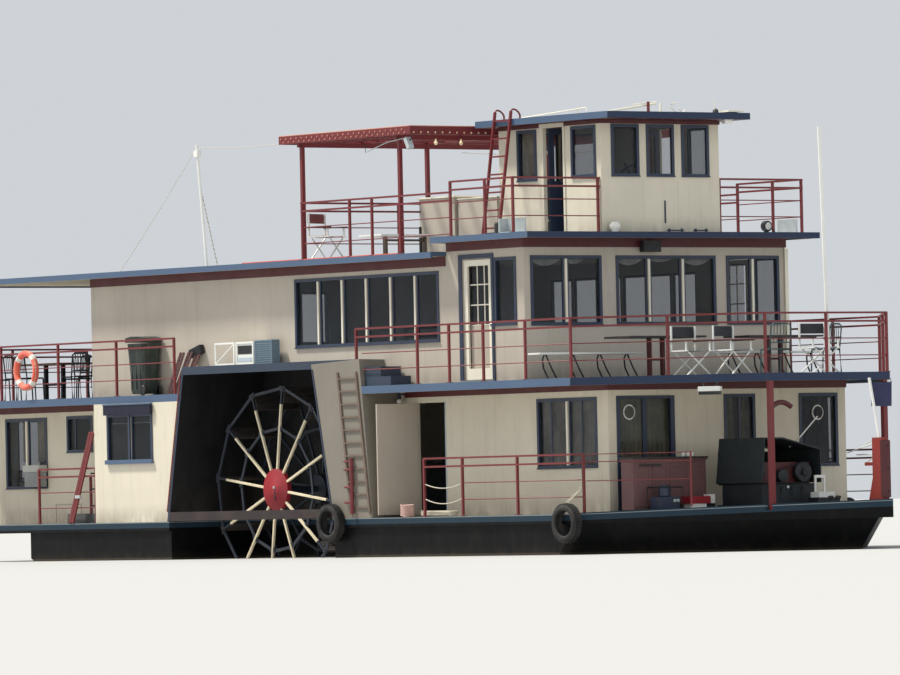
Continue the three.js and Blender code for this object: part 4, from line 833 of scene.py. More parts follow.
def hang_curtain(name, place, curtain, depth):
    u0, u1, top, bottom, cloth = curtain
    steps = 8 * max(2, round((u1 - u0) / PLEAT_PITCH))
    rows = []
    for row in range(7):
        down = row / 6
        swing = PLEAT_DEEP * (0.6 + 0.4 * down)
        rows.append([(u0 + (u1 - u0) * i / steps, -depth + swing * math.sin(math.pi * i / 4 + 0.5 * down),
                      top + (bottom - top) * down) for i in range(steps + 1)])
    shape = Shape(place)
    shape.cloth(rows, (0, 0.003, 0))
    piece = shape.make(name, "boat", [cloth], "cream_paint", smooth=True)


def hang_swag(name, place, swag, top, depth):
    """A short cloth that droops along its lower edge."""
    u0, u1, drop = swag
    steps = 24
    rows = []
    for row in range(5):
        down = row / 4
        rows.append([(u0 + (u1 - u0) * i / steps, -depth + 0.006 * math.sin(math.pi * i / 3),
                      top - down * (SWAG_HEM + (drop - SWAG_HEM) * math.sin(math.pi * i / steps)))
                     for i in range(steps + 1)])
    shape = Shape(place)
    shape.cloth(rows, (0, 0.003, 0))
    piece = shape.make(name, "boat", ["pelmet"], "white_paint", smooth=True)


def make_side_curtains(side):
    """The rods and curtains of one side's lower cabins and wheelhouse."""
    name = SIDE_NAMES[side]
    rod_name = "curtain_rods_" + name
    rods = Shape()
    rooms = [("main", on_side(side, MAIN_Y), MAIN_CURTAINS),
             ("house", on_side(side, HOUSE_Y), HOUSE_CURTAINS)]
    for _, place, curtains in rooms:
        rods.place = place
        for u0, u1, top, _, _ in curtains:
            rod_for(rods, u0, u1, top, CURTAIN_DEPTH)
    rods.make(rod_name, "boat", ["dark_steel"], "black_paint", smooth=True)
    for room, place, curtains in rooms:
        for i, curtain in enumerate(curtains, 1):
            hang_curtain(f"{room}_curtain_{name}_{i}", place, curtain, CURTAIN_DEPTH)


def make_front_curtains():
    """The long curtains of the lower front wall and the saloon's short swags."""
    rod_name = "curtain_rods_front"
    main, upper = on_end(1, MAIN_FRONT_X), on_end(1, UPPER_FRONT_X)
    rods = Shape(main)
    for u0, u1, top, _, _ in FRONT_CURTAINS:
        rod_for(rods, u0, u1, top, FRONT_CURTAIN_DEPTH)
    rods.place = upper
    for u0, u1, _ in SWAGS:
        rod_for(rods, u0, u1, SWAG_TOP, CURTAIN_DEPTH)
    rods.make(rod_name, "boat", ["dark_steel"], "black_paint", smooth=True)
    for i, curtain in enumerate(FRONT_CURTAINS, 1):
        hang_curtain(f"front_curtain_{i}", main, curtain, FRONT_CURTAIN_DEPTH)
    for i, swag in enumerate(SWAGS, 1):
        hang_swag(f"saloon_swag_{i}", upper, swag, SWAG_TOP, CURTAIN_DEPTH)


def make_window_stiles():
    """The sliding sashes' middle stiles, and the blind box and sill of the side cabin's window."""
    stiles = Shape()
    for side in SIDES:
        stiles.place = on_side(side, MAIN_Y)
        for u in (8.13, 9.02, -7.02):
            sill, head = (1.59, 2.73) if u > 0 else (2.15, 2.74)
            stiles.block(u - 0.02, u + 0.02, -0.029, -0.015, sill, head)
        stiles.place = on_side(side, BEAM)
        for u0, u1 in ((-4.56, -3.905), (-3.835, -3.18)):
            stiles.block(u0, u1, -0.060, -0.037, 2.62, 2.74, 1)
            stiles.block(u0, u1, -0.060, -0.037, 2.605, 2.619, 2)
        stiles.block(-3.903, -3.837, NEAR, 0.030, 1.905, 2.769)
        stiles.block(-4.655, -3.085, 0.019, 0.075, 2.77, 2.955, 4)
        stiles.block(-4.665, -3.075, 0.015, 0.085, 2.956, 2.984, 3)
        stiles.block(-4.655, -3.085, 0.013, 0.058, 1.835, 1.915, 3)
    stiles.place = on_end(1, MAIN_FRONT_X)
    stiles.block(0.25, 0.29, -0.029, -0.015, 1.55, 2.75)
    looks = ["frame_blue", "black_plastic", "grey_plastic", "blue", "blind_navy"]
    stiles.make("window_stiles", "boat", looks, "blue_paint", bevel=0.003)


# Trim boards at the heads of the walls

MAIN_HEAD = (2.905, 3.045)
MAIN_AFT_HEAD = (2.885, 3.045)
UPPER_HEAD = (5.52, 5.695)
UPPER_AFT_HEAD = (5.26, 5.435)
HOUSE_HEAD = (HOUSE_ROOF - 0.19, HOUSE_ROOF - 0.122)


def make_wall_trim():
    trim = Shape()
    thick = 0.022
    rows = [
        (MAIN_Y, 3.80, MAIN_FRONT_X + NEAR, *MAIN_HEAD), (MAIN_Y, MAIN_AFT_X, -5.08, *MAIN_AFT_HEAD),
        (UPPER_Y, UPPER_AFT_X, 5.49, *UPPER_AFT_HEAD), (UPPER_Y, 5.53, UPPER_FRONT_X + NEAR, *UPPER_HEAD),
        (HOUSE_Y, HOUSE_AFT_X, 6.255, *HOUSE_HEAD), (HOUSE_Y, 6.975, HOUSE_FRONT_X, *HOUSE_HEAD),
    ]
    for side in SIDES:
        for face, start, end, low, high in rows:
            y0, y1 = sorted((side * (face + NEAR), side * (face + thick)))
            trim.block(start, end, y0, y1, low, high)
    for face, half, head in ((MAIN_FRONT_X, MAIN_Y, MAIN_HEAD), (UPPER_FRONT_X, UPPER_Y, UPPER_HEAD),
                             (HOUSE_FRONT_X, HOUSE_Y, HOUSE_HEAD)):
        trim.block(face + NEAR, face + thick, -half - thick, half + thick, *head)
    for face, half, head in ((MAIN_AFT_X, MAIN_Y, MAIN_AFT_HEAD), (UPPER_AFT_X, UPPER_Y, UPPER_AFT_HEAD)):
        trim.block(face - thick, face - NEAR, -half, half, *head)
    trim.make("wall_head_trim", "boat", ["maroon_trim"], "maroon_paint", bevel=0.004)


# Paddle wheels, drawn for the starboard side: two spoked frames, the floats between them and the hub

SPOKES = 12
WHEEL_TURN = math.radians(7.5)
SPOKE_ANGLES = [WHEEL_TURN + i * 2 * math.pi / SPOKES for i in range(SPOKES)]
FRAMES = ((-2.95, -0.020, 0), (-1.93, 0.020, 1))
RINGS = ((1.915, 0.058), (1.16, 0.055))
SPOKE_FOOT, SPOKE_HEAD, SPOKE_TIP = 0.30, 1.61, 1.93
JOINT_PLATE = ((-0.07, -0.05), (-0.07, 0.05), (0.035, 0.09), (0.035, -0.09))
RIVET = ((0, -0.008), (0.014, -0.008), (0.014, 0.004), (0.009, 0.008), (0, 0.008))


def polar(radius, angle, y):
    """A point of the wheel, with its angle counted from the top."""
    return (radius * math.sin(angle), y, SHAFT_Z + radius * math.cos(angle))


def ring_bars(rims, y):
    for ring, width in RINGS:
        for angle in SPOKE_ANGLES:
            after = angle + 2 * math.pi / SPOKES
            low0, low1, high0, high1 = (
                polar(r, a, 0) for r in (ring - width / 2, ring + width / 2) for a in (angle, after))
            verts = [(p[0], face, p[2]) for face in (y - 0.014, y + 0.014)
                     for p in (low0, low1, high1, high0)]
            rims.put(verts, PRISM_FACES)


def joint_plates(rims, y, out):
    """The plates that hold the spokes to the rings, two rivets in each."""
    rivet = [(r, math.copysign(1, out) * h) for r, h in RIVET]
    for angle in SPOKE_ANGLES:
        for ring, _ in RINGS:
            plate = [polar(ring + a, angle + b / ring, y + out * 0.9) for a, b in JOINT_PLATE]
            back = [(px, py + out * 0.4, pz) for px, py, pz in plate]
            rims.put(plate + back, PRISM_FACES)
            for shift in (-0.035, 0.035):
                x, _, z = polar(ring - 0.02, angle + shift / ring, 0)
                rims.lathe(rivet, (x, y + out * 1.55, z), "Y", 6)


def float_boards(floats):
    """Two boards at each spoke, bolted through."""
    for angle in SPOKE_ANGLES:
        along = Vector((math.sin(angle), 0, math.cos(angle)))
        across = Vector((math.cos(angle), 0, -math.sin(angle)))
        for low, high in ((1.625, 1.765), (1.780, 1.925)):
            flat = [along * radius + across * thick for thick in (-0.022, 0.022) for radius in (low, high)]
            floats.put([(p.x, y, SHAFT_Z + p.z) for y in (-2.92, -1.96) for p in flat], GRID_FACES)
        for y in (-2.80, -2.08):
            for radius in (1.69, 1.86):
                p = along * radius + across * 0.026
                floats.lathe([(0, -0.006), (0.016, -0.006), (0.016, 0.006), (0, 0.006)],
                             (p.x, y, SHAFT_Z + p.z), "Y", 6, 1)


def turn_hub(hub):
    """The outer disc, the shaft with its inner flange, and two small parts on the disc's face."""
    centre = (0, 0, SHAFT_Z)
    hub.lathe([(0, -3.02), (0.13, -3.02), (0.14, -3.012), (0.375, -3.004), (0.390, -2.992), (0.390, -2.905),
               (0.375, -2.895), (0, -2.895)], centre, "Y", 48)
    hub.lathe([(0, -2.894), (0.06, -2.894), (0.06, -2.045), (0.26, -2.04), (0.273, -2.03), (0.273, -1.89),
               (0.26, -1.88), (0.06, -1.88), (0.06, -0.752), (0, -0.752)], centre, "Y", 48, 1)
    hub.lathe([(0, -3.040), (0.022, -3.040), (0.028, -3.034), (0.028, -3.02), (0, -3.02)],
              (0, 0, SHAFT_Z + 0.04), "Y", 16, 2)
    hub.block(0.008, 0.030, -3.024, -3.004, SHAFT_Z - 0.20, SHAFT_Z - 0.02, 1)


def make_wheel(side):
    name = SIDE_NAMES[side]
    body = "paddle_wheel_" + name
    rims, spokes, floats, hub = (Shape(lambda x, y, z: (x, -side * y, z)) for _ in range(4))
    for y, out, tag in FRAMES:
        ring_bars(rims, y)
        joint_plates(rims, y, out)
        for angle in SPOKE_ANGLES:
            end = polar(SPOKE_HEAD, angle, y + out)
            spokes.bar(polar(SPOKE_FOOT, angle, y + out), end, 0.044, 0.044, tag)
            rims.bar(end, polar(SPOKE_TIP, angle, y + out), 0.030, 0.036)
    float_boards(floats)
    turn_hub(hub)
    rims.make("wheel_rims_" + name, body, ["wheel_blue"], "wheel_paint")
    spokes.make("wheel_spokes_" + name, body, ["spoke", "wheel_blue"], "wheel_paint", bevel=0.004)
    floats.make("wheel_floats_" + name, body, ["float_wood", "dark_steel"], "wheel_paint", bevel=0.004)
    hub.make("wheel_hub_" + name, body, ["red", "wheel_blue", "grey_plastic"], "wheel_paint", smooth=True,
             replaces=[body])


# Railings: thin rods under the two rails, and plates at the feet of the posts

RAIL_Y = 3.555
ROOF_RAIL_Y = 3.335
BOW_RAIL = [(9.834, -RAIL_Y), (12.615, -1.388)]
ROD_HEIGHTS = (0.30, 0.60)
ROD_RADIUS = 0.011


def there_and_back(half):
    """A path along the starboard side, across, and back along the port side."""
    return half + [(x, -y) for x, y in reversed(half)]


def make_rail_rods():
    runs = [
        (UPPER, there_and_back([(3.60, -RAIL_Y), *BOW_RAIL])),
        (UPPER, there_and_back([(-2.41, -RAIL_Y), (-10.555, -RAIL_Y)])),
        (DECK, there_and_back([(-8.70, -RAIL_Y), (-10.355, -RAIL_Y)])),
        (AFT_ROOF, there_and_back([(6.09, -ROOF_RAIL_Y), (1.51, -ROOF_RAIL_Y)])),
    ]
    for side in SIDES:
        runs += [
            (DECK, [(6.57, side * RAIL_Y), (9.80, side * RAIL_Y), (9.94, side * 3.41)]),
            (DECK, [(-7.06, side * RAIL_Y), (-5.12, side * RAIL_Y)]),
            (FORWARD_ROOF, [(6.09, side * ROOF_RAIL_Y), (7.95, side * ROOF_RAIL_Y), (7.95, side * 1.37)]),
        ]
    rods = Shape()
    for floor, path in runs:
        for height in ROD_HEIGHTS:
            rods.tube([(x, y, floor + height) for x, y in path], ROD_RADIUS, sides=6)
    rods.make("railing_rods", "boat", ["maroon"], "maroon_paint", smooth=True)


def make_post_feet():
    places = [(UPPER, x, RAIL_Y) for x in (5.29, 6.25, 7.27, 8.51, -4.34, -6.32, -8.30)]
    places += [(UPPER, 9.834, 3.545), (UPPER, 11.225, 2.470), (UPPER, 12.615, 1.388)]
    places += [(DECK, x, RAIL_Y) for x in (5.42, 6.57, 8.20, -7.06)]
    places += [(AFT_ROOF, x, ROOF_RAIL_Y) for x in (1.51, 3.00, 3.69, 4.56)]
    places += [(FORWARD_ROOF, x, ROOF_RAIL_Y) for x in (6.09, 7.12, 7.95)]
    feet = Shape()
    for floor, x, y in places:
        for side in SIDES:
            at = side * y
            feet.block(x - 0.055, x + 0.055, at - 0.042, at + 0.042, floor + NEAR, floor + 0.011)
            for dx in (-0.038, 0.038):
                feet.lathe([(0, 0), (0.012, 0), (0.012, 0.008), (0, 0.010)],
                           (x + dx, at, floor + 0.010), sides=6, tag=1)
    feet.make("railing_feet", "boat", ["maroon", "steel"], "maroon_paint", bevel=0.002)


# Doors

def make_upper_door(side):
    """The glazing bars, lower panel, glass and knob that ride on a saloon door, and its casing."""
    name = SIDE_NAMES[side]
    body = "upper_door_" + name
    place = on_side(side, 0)
    inner = UPPER_Y - 0.079
    u0, u1, low, sill, head = 6.108, 6.732, 3.38, 4.16, 5.262
    leaf = Shape(place)
    leaf.block(u0 - 0.004, u1 + 0.004, inner - 0.022, inner - 0.002, low - 0.004, sill, 1)
    for i in (1, 2):
        u = u0 + (u1 - u0) * i / 3
        leaf.block(u - 0.011, u + 0.011, inner - 0.024, inner - 0.004, sill + 0.002, head)
    for i in range(3):
        v = sill + (head - sill) * i / 3
        leaf.block(u0, u1, inner - 0.026, inner - 0.002, v - 0.012, v + 0.012)
    leaf.make("upper_door_bars_" + name, body, ["mullion", "door_greige"], "cream_paint", bevel=0.003)
    glass = Shape(place)
    glass.block(u0, u1, inner - 0.016, inner - 0.012, sill + 0.01, head)
    glass.make("upper_door_glass_" + name, body, ["glass"], "cream_paint")
    knob = Shape(place)
    knob.lathe([(0, 0), (0.030, 0), (0.030, 0.006), (0.012, 0.010), (0.012, 0.040), (0.028, 0.046),
                (0.030, 0.060), (0.018, 0.072), (0, 0.072)], (6.785, UPPER_Y - 0.075, 4.16), "Y", 16)
    knob.make("upper_door_knob_" + name, body, ["steel"], "white_paint", smooth=True)
    casing = Shape(on_side(side, UPPER_Y))
    for a, b in ((5.885, 5.985), (6.855, 6.925)):
        casing.block(a, b, NEAR, 0.024, UPPER + 0.01, 5.445)
    casing.block(5.985, 6.855, NEAR, 0.024, 5.362, 5.445)
    casing.block(5.93, 6.92, NEAR, 0.060, UPPER + 0.004, UPPER + 0.038, 1)
    casing.make("upper_door_casing_" + name, "boat", ["frame_blue", "deck_paint"], "blue_paint", bevel=0.004)


def make_door_casings(side):
    name = SIDE_NAMES[side]
    jamb = Shape(on_side(side, MAIN_Y))
    jamb.block(4.994, 5.014, NEAR, 0.016, DECK + 0.01, 2.82)
    jamb.make("main_door_casing_" + name, "boat", ["pale_blue"], "blue_paint", bevel=0.004)
    house = Shape(on_side(side, HOUSE_Y))
    for u0, u1 in ((6.27, 6.325), (6.905, 6.96)):
        house.block(u0, u1, NEAR, 0.018, FORWARD_ROOF + 0.01, 7.742)
    house.block(6.26, 6.97, NEAR, 0.050, 7.744, 7.816)
    house.make("wheelhouse_door_casing_" + name, "boat", ["house_cream"], "cream_paint", bevel=0.004)


def window_ring(name, body, x, y, z):
    """A pale closed ring on the glass, thicker over two thirds of its round."""
    ring = Shape()
    for first, steps, thick in ((0, 37, 0.007), (60, 25, 0.014)):
        angles = [math.radians(first + 10 * i) for i in range(steps)]
        ring.tube([(x, y + 0.125 * math.cos(a), z + 0.125 * math.sin(a)) for a in angles], thick)
    ring.make("window_ring_" + name, body, ["white"], "white_paint", smooth=True)


def make_front_door():
    slide = "front_sliding_door"
    low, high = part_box(slide)
    x, y0, y1 = high[0], low[1] + 0.09, high[1] - 0.09
    middle = (y0 + y1) / 2
    stile, glass = Shape(), Shape()
    stile.block(x - 0.036, x - 0.004, middle - 0.045, middle + 0.045, DECK + 0.16, 2.76)
    glass.block(x - 0.022, x - 0.017, y0 - 0.002, y1 + 0.002, DECK + 0.158, 2.762)
    stile.make("sliding_door_stile", slide, ["frame_blue"], "cream_paint", bevel=0.004)
    glass.make("sliding_door_glass", slide, ["glass"], "cream_paint")
    window_ring("door", slide, x - 0.016, -2.19, 2.51)
    window_ring("port", "boat", MAIN_FRONT_X - 0.014, 2.09, 2.46)
    casing = Shape(on_end(1, MAIN_FRONT_X))
    for u0, u1 in FRONT_DOOR_CASING:
        casing.block(u0, u1, NEAR, 0.022, DECK + 0.01, 2.80)
    casing.block(-2.479, -1.331, NEAR, 0.021, 2.745, 2.80)
    casing.make("front_door_casing", "boat", ["frame_blue"], "blue_paint", bevel=0.004)


# Roof of the wheelhouse, pergola and sun deck

def make_aerials():
    gear = Shape()
    top = HOUSE_ROOF + NEAR
    gear.tube([(5.55, -1.30, top + 0.02), (7.34, -1.16, top + 0.125), (7.38, -1.16, top + 0.06)], 0.013)
    for x, y, height in ((5.60, -1.295, 0.008), (7.10, -1.172, 0.098)):
        gear.tube([(x, y, top), (x, y, top + height)], 0.012)
    gear.tube([(6.90, -0.80, top + 0.02), (6.95, 0.78, top + 0.245)], 0.020)
    gear.tube([(7.0, 0.55, top), (7.0, 0.55, top + 0.275)], 0.028, 1)
    gear.tube([(6.88, 0.30, top + 0.225), (7.02, 0.74, top + 0.275)], 0.012)
    gear.tube([(7.30, 0.58, top), (7.30, 0.61, top + 0.24)], 0.022)
    gear.block(7.25, 7.35, 0.50, 0.72, top, top + 0.025)
    gear.tube([(8.25, 1.12, top), (8.22, 1.10, top + 0.24)], 0.010)
    gear.lathe([(0, 0), (0.06, 0), (0.05, 0.06), (0.02, 0.09), (0, 0.09)], (8.25, 1.12, top), tag=2)
    looped = [(0.62, 0.21), (0.52, 0.20), (0.44, 0.135), (0.52, 0.095), (0.59, 0.05), (0.51, 0.02),
              (0.39, 0.02)]
    gear.tube([(7.75, y, top + z) for y, z in looped], 0.013)
    gear.tube([(7.75, 0.67, top + 0.12), (7.75, 0.74, top + 0.012), (7.75, 0.81, top + 0.09)], 0.012)
    gear.block(8.20, 8.50, 1.22, 1.58, top + 0.02, top + 0.05)
    gear.block(8.30, 8.40, 1.30, 1.50, top, top + 0.021, 2)
    gear.make("roof_aerials", "boat", ["mullion", "maroon", "black_plastic"], "white_paint", smooth=True)


def make_front_lamps():
    """Lamps, foot fittings and battens at the front of the wheelhouse and the saloon."""
    floor = FORWARD_ROOF
    lamps = Shape()
    lamps.block(8.44, 8.54, 1.10, 1.28, 7.745, 7.819)
    lamps.lathe([(0, 0), (0.07, 0), (0.10, 0.04), (0.105, 0.09), (0.07, 0.15), (0, 0.17)],
                (8.15, -1.185, floor + 0.035), tag=1)
    lamps.lathe([(0, 0), (0.06, 0), (0.06, 0.036), (0, 0.036)], (8.15, -1.185, floor + NEAR))
    lamps.make("wheelhouse_lamps", "boat", ["white", "lamp_glass"], "white_paint", smooth=True)
    bits = Shape()
    for y0, y1 in ((-0.05, 0.30), (0.56, 0.86)):
        bits.block(8.22, 8.30, y0, y1, floor + 0.018, floor + 0.042)
        for y in (y0 + 0.03, y1 - 0.03):
            bits.block(8.24, 8.28, y - 0.012, y + 0.012, floor + NEAR, floor + 0.066)
    bits.block(HOUSE_FRONT_X + NEAR, HOUSE_FRONT_X + 0.016, 0.070, 0.100, floor + 0.17, 6.36)
    bits.make("wheelhouse_foot_fittings", "boat", ["frame_blue"], "black_paint", bevel=0.003)
    joints = Shape()
    for y in (-0.405, 0.405):
        joints.block(HOUSE_FRONT_X + NEAR, HOUSE_FRONT_X + 0.005, y - 0.012, y + 0.012, floor + 0.02, 7.74)
    joints.block(UPPER_FRONT_X + 0.023, UPPER_FRONT_X + 0.040, UPPER_Y - 0.03, UPPER_Y + 0.045,
                 UPPER + 0.01, 5.50, 1)
    joints.make("front_battens", "boat", ["house_cream", "mullion"], "cream_paint", bevel=0.001)


def make_roof_lights():
    """The floodlight on the saloon's fascia and the spotlight on the roof beside the wheelhouse."""
    floor = FORWARD_ROOF
    flood = Shape()
    flood.block(7.846, 7.975, -0.39, 0.01, 5.430, 5.635)
    flood.block(7.976, 7.982, -0.36, -0.02, 5.460, 5.605, 1)
    flood.make("fascia_floodlight", "boat", ["black_plastic", "dark_steel"], "black_paint", bevel=0.008)
    spot = Shape()
    centre = (7.40, 2.94, floor + 0.150)
    spot.lathe([(0, -0.06), (0.085, -0.06), (0.10, -0.04), (0.10, 0.05), (0.085, 0.06), (0, 0.06)],
               centre, "X")
    spot.lathe([(0, 0.061), (0.07, 0.061), (0.06, 0.070), (0, 0.074)], centre, "X", tag=1)
    spot.block(7.37, 7.43, 2.91, 2.97, floor + NEAR, floor + 0.055)
    spot.bar((7.40, 3.17, floor + 0.012), (7.40, 3.04, floor + 0.13), 0.02, 0.02)
    spot.make("roof_spotlight", "boat", ["dark_steel", "lamp_glass"], "black_paint", smooth=True)


def make_nav_light(side):
    """A screen beside the wheelhouse, open outboard, with its lamp on the starboard side."""
    low, high = FORWARD_ROOF + NEAR, FORWARD_ROOF + 0.26
    screen = Shape(lambda x, y, z: (x, side * y, z))
    screen.block(7.50, 8.05, 3.12, 3.15, low, high)
    screen.block(7.50, 7.53, 3.151, 3.33, low, high)
    screen.block(7.50, 8.05, 3.12, 3.33, FORWARD_ROOF, FORWARD_ROOF + 0.012)
    if side < 0:
        screen.lathe([(0, 0), (0.07, 0), (0.08, 0.02), (0.08, 0.17), (0.06, 0.20), (0, 0.21)],
                     (7.38, 3.23, low), tag=1)
    screen.make("nav_light_" + SIDE_NAMES[side], "boat", ["grey_plastic", "black_plastic"], "blue_paint",
                bevel=0.003)


def make_ladder_tops():
    tops = Shape()
    hoop = [(-1.654, 8.085), (-1.640, 8.105), (-1.60, 8.118), (-1.54, 8.105), (-1.48, 8.06), (-1.45, 8.01),
            (-1.45, HOUSE_ROOF + NEAR)]
    for x in (5.27, 5.75):
        tops.tube([(x, y, z) for y, z in hoop], 0.018)
    tops.make("house_ladder_tops", "boat", ["maroon"], "maroon_paint", smooth=True)


PERGOLA_AFT, PERGOLA_FRONT, PERGOLA_Y, PERGOLA_TOP = 0.43, 4.50, 3.026, 7.86
BULB_PITCH = 0.165
BULB_DROPS = (0.055, 0.115)


def make_pergola_boards():
    boards = Shape()
    runs = []
    for side in SIDES:
        y0, y1 = sorted((side * PERGOLA_Y, side * (PERGOLA_Y + 0.02)))
        runs.append((PERGOLA_AFT, PERGOLA_FRONT, y0, y1))
    for x0, x1 in ((PERGOLA_AFT - 0.021, PERGOLA_AFT - NEAR), (PERGOLA_FRONT + NEAR, PERGOLA_FRONT + 0.021)):
        runs.append((x0, x1, -PERGOLA_Y - 0.02, PERGOLA_Y + 0.02))
    for run in runs:
        boards.block(*run, PERGOLA_TOP - 0.15, PERGOLA_TOP - 0.004)
        boards.block(*run, PERGOLA_TOP - 0.003, PERGOLA_TOP + 0.012, 1)
    boards.make("pergola_boards", "boat", ["maroon", "rail_pale"], "maroon_paint", bevel=0.003)


def make_bulbs():
    """Two rows of small bulbs along each side, one row across the front, and two lamps under it."""
    bulbs = Shape()
    bulb = [(0, -0.018), (0.011, -0.014), (0.015, 0), (0.011, 0.014), (0, 0.018)]
    for row, drop in enumerate(BULB_DROPS):
        for i in range(int((PERGOLA_FRONT - PERGOLA_AFT) / BULB_PITCH)):
            x = PERGOLA_AFT + (i + 0.35 + 0.5 * row) * BULB_PITCH
            for side in SIDES:
                bulbs.lathe(bulb, (x, side * (PERGOLA_Y + 0.028), PERGOLA_TOP - drop), "Z", 8, 1)
    for i in range(int(2 * PERGOLA_Y / BULB_PITCH)):
        y = -PERGOLA_Y + (i + 0.35) * BULB_PITCH
        bulbs.lathe(bulb, (PERGOLA_FRONT + 0.03, y, PERGOLA_TOP - BULB_DROPS[1]), "Z", 8)
    lamp = [(0, -0.075), (0.025, -0.068), (0.038, -0.035), (0.026, -0.006), (0.014, 0.006), (0.014, 0.04),
            (0, 0.04)]
    for y in (-2.42, -1.84):
        bulbs.lathe(lamp, (PERGOLA_FRONT - 0.03, y, PERGOLA_TOP - 0.27), "Z", 16)
    bulbs.make("pergola_bulbs", "boat", ["bulb", "rail_pale"], "white_paint", smooth=True)


def make_pergola_floodlight():
    tilt = math.radians(28)
    flood = Shape(lambda x, y, z: (4.36 + x * math.cos(tilt) - z * math.sin(tilt), y - 2.96,
                                   7.56 + x * math.sin(tilt) + z * math.cos(tilt)))
    flood.block(-0.04, 0.04, -0.06, 0.06, -0.12, 0.10)
    flood.place = as_drawn
    cable = [(4.34, 7.66), (3.70, 7.60), (3.02, 7.44)]
    bracket = [(4.40, 7.60), (4.47, 7.66), (4.47, 7.70)]
    hanger = [(3.02, 7.44), (3.02, 7.70)]
    for path, radius, tag in ((cable, 0.010, 0), (bracket, 0.010, 1), (hanger, 0.006, 1)):
        flood.tube([(x, -2.96, z) for x, z in path], radius, tag)
    flood.make("pergola_floodlight", "boat", ["grey_plastic", "dark_steel"], "white_paint", bevel=0.004)


def make_roof_edge_strip():
    edge = Shape()
    edge.block(-0.40, 1.46, -3.372, -3.350, AFT_ROOF + NEAR, AFT_ROOF + 0.016)
    edge.block(1.52, 4.50, -3.372, -3.362, AFT_ROOF + NEAR, AFT_ROOF + 0.016)
    edge.make("aft_roof_edge_strip", "boat", ["orange_red"], "maroon_paint")


def sagging(start, end, sag, count=12):
    """Points of a line that hangs by sag between two ends."""
    points = []
    for i in range(count + 1):
        t = i / count
        x, y, z = (a + (b - a) * t for a, b in zip(start, end))
        points.append((x, y, z - 4 * sag * t * (1 - t)))
    return points


def make_strings():
    """The lamp pole's stays, the string of lamps and its brace."""
    lines = Shape()
    pole_top = (-2.455, -2.9, 7.80)
    lines.tube(sagging(pole_top, (0.40, -2.60, 7.78), 0.05), 0.007, sides=6)
    lines.tube(sagging(pole_top, (-4.93, -3.02, AFT_ROOF + 0.01), 0.03), 0.006, sides=6)
    string = (0.45, 1.2, 7.60), (4.48, 2.9, 7.60), 0.10
    lines.tube(sagging(*string), 0.007, sides=6)
    fine = sagging(*string, 100)
    for t in (0.2, 0.38, 0.56, 0.74, 0.9):
        x, y, z = fine[int(t * 100)]
        lines.block(x - 0.010, x + 0.012, y - 0.01, y + 0.01, z - 0.11, z - 0.004, 1)
    brace = [(-2.455, -2.9, 7.72), (-2.42, -2.86, 7.05), (-2.30, -2.72, 6.10), (-2.24, -2.62, AFT_ROOF)]
    lines.tube(brace, 0.010)
    lines.block(-2.50, -2.38, -2.95, -2.85, 7.62, 7.74, 2)
    lines.make("pole_lines", "boat", ["rope", "dark_steel", "white"], "white_paint", smooth=True)


class Turned:
    """Places local coordinates at a spot on a floor, turned about the vertical."""

    def __init__(self, x, y, floor, degrees=0):
        self.spot = (x, y, floor)
        self.cos, self.sin = math.cos(math.radians(degrees)), math.sin(math.radians(degrees))

    def __call__(self, x, y, z):
        return (self.spot[0] + x * self.cos - y * self.sin, self.spot[1] + x * self.sin + y * self.cos,
                self.spot[2] + z)


# A folding chair, and the heights of its seat, arms and back
SLING_WIDE = 0.57
SLING_X = 0.20
SEAT_Z = 0.44
ARM_Z = 0.62
ARM_THICK = 0.022
BACK_Z = 0.90


def folding_chair(shape, place):
    """The frame of a folding chair: crossed legs, side bars, back posts and flat arms."""
    shape.place = place
    for x in (-SLING_X, SLING_X):
        shape.bar((x, -0.26, 0.012), (x, 0.24, 0.43), 0.020, 0.026)
        shape.bar((x + 0.025, 0.26, 0.012), (x + 0.025, -0.24, 0.43), 0.020, 0.026)
    for y in (-0.27, 0.27):
        for low, high in ((NEAR, 0.025), (SEAT_Z, SEAT_Z + 0.025)):
            shape.block(-0.24, 0.24, y - 0.02, y + 0.02, low, high)
        shape.block(-0.25, 0.27, y - 0.03, y + 0.03, ARM_Z, ARM_Z + ARM_THICK, 1)
        for x in (-0.22, 0.20):
            shape.block(x - 0.014, x + 0.014, y - 0.014, y + 0.014, SEAT_Z + 0.02, ARM_Z)
        shape.block(-0.235, -0.205, y - 0.014, y + 0.014, ARM_Z + ARM_THICK, BACK_Z)


def sling(name, place, cloth):
    """The seat and the back that a folding chair's frame stretches."""
    ys = [SLING_WIDE * (i / 12 - 0.5) for i in range(13)]
    sags = [math.cos(math.pi * y / SLING_WIDE) for y in ys]
    seat = [[(x, y, SEAT_Z + 0.027 - 0.030 * s) for y, s in zip(ys, sags)] for x in (-SLING_X, 0.0, SLING_X)]
    back = [[(-0.240 - 0.012 * s, y, z) for y, s in zip(ys, sags)] for z in (0.89, 0.80, 0.71)]
    for part, rows, lift, deep in (("seat", seat, (0, 0, 0.003), 0.40), ("back", back, (0.003, 0, 0), 0.18)):
        shape = Shape(place)
        shape.cloth(rows, lift)
        piece = shape.make(f"{name}_{part}", "boat", [cloth], "umber_paint", smooth=True)


def folding_chairs(name, floor, spots, arm, cloth):
    frames = Shape()
    for x, y, turn in spots:
        folding_chair(frames, Turned(x, y, floor, turn))
    frames.make(name, "boat", ["white", arm], "white_paint", 0.003)
    for i, (x, y, turn) in enumerate(spots):
        sling(f"{name}_{i + 1}", Turned(x, y, floor, turn), cloth)


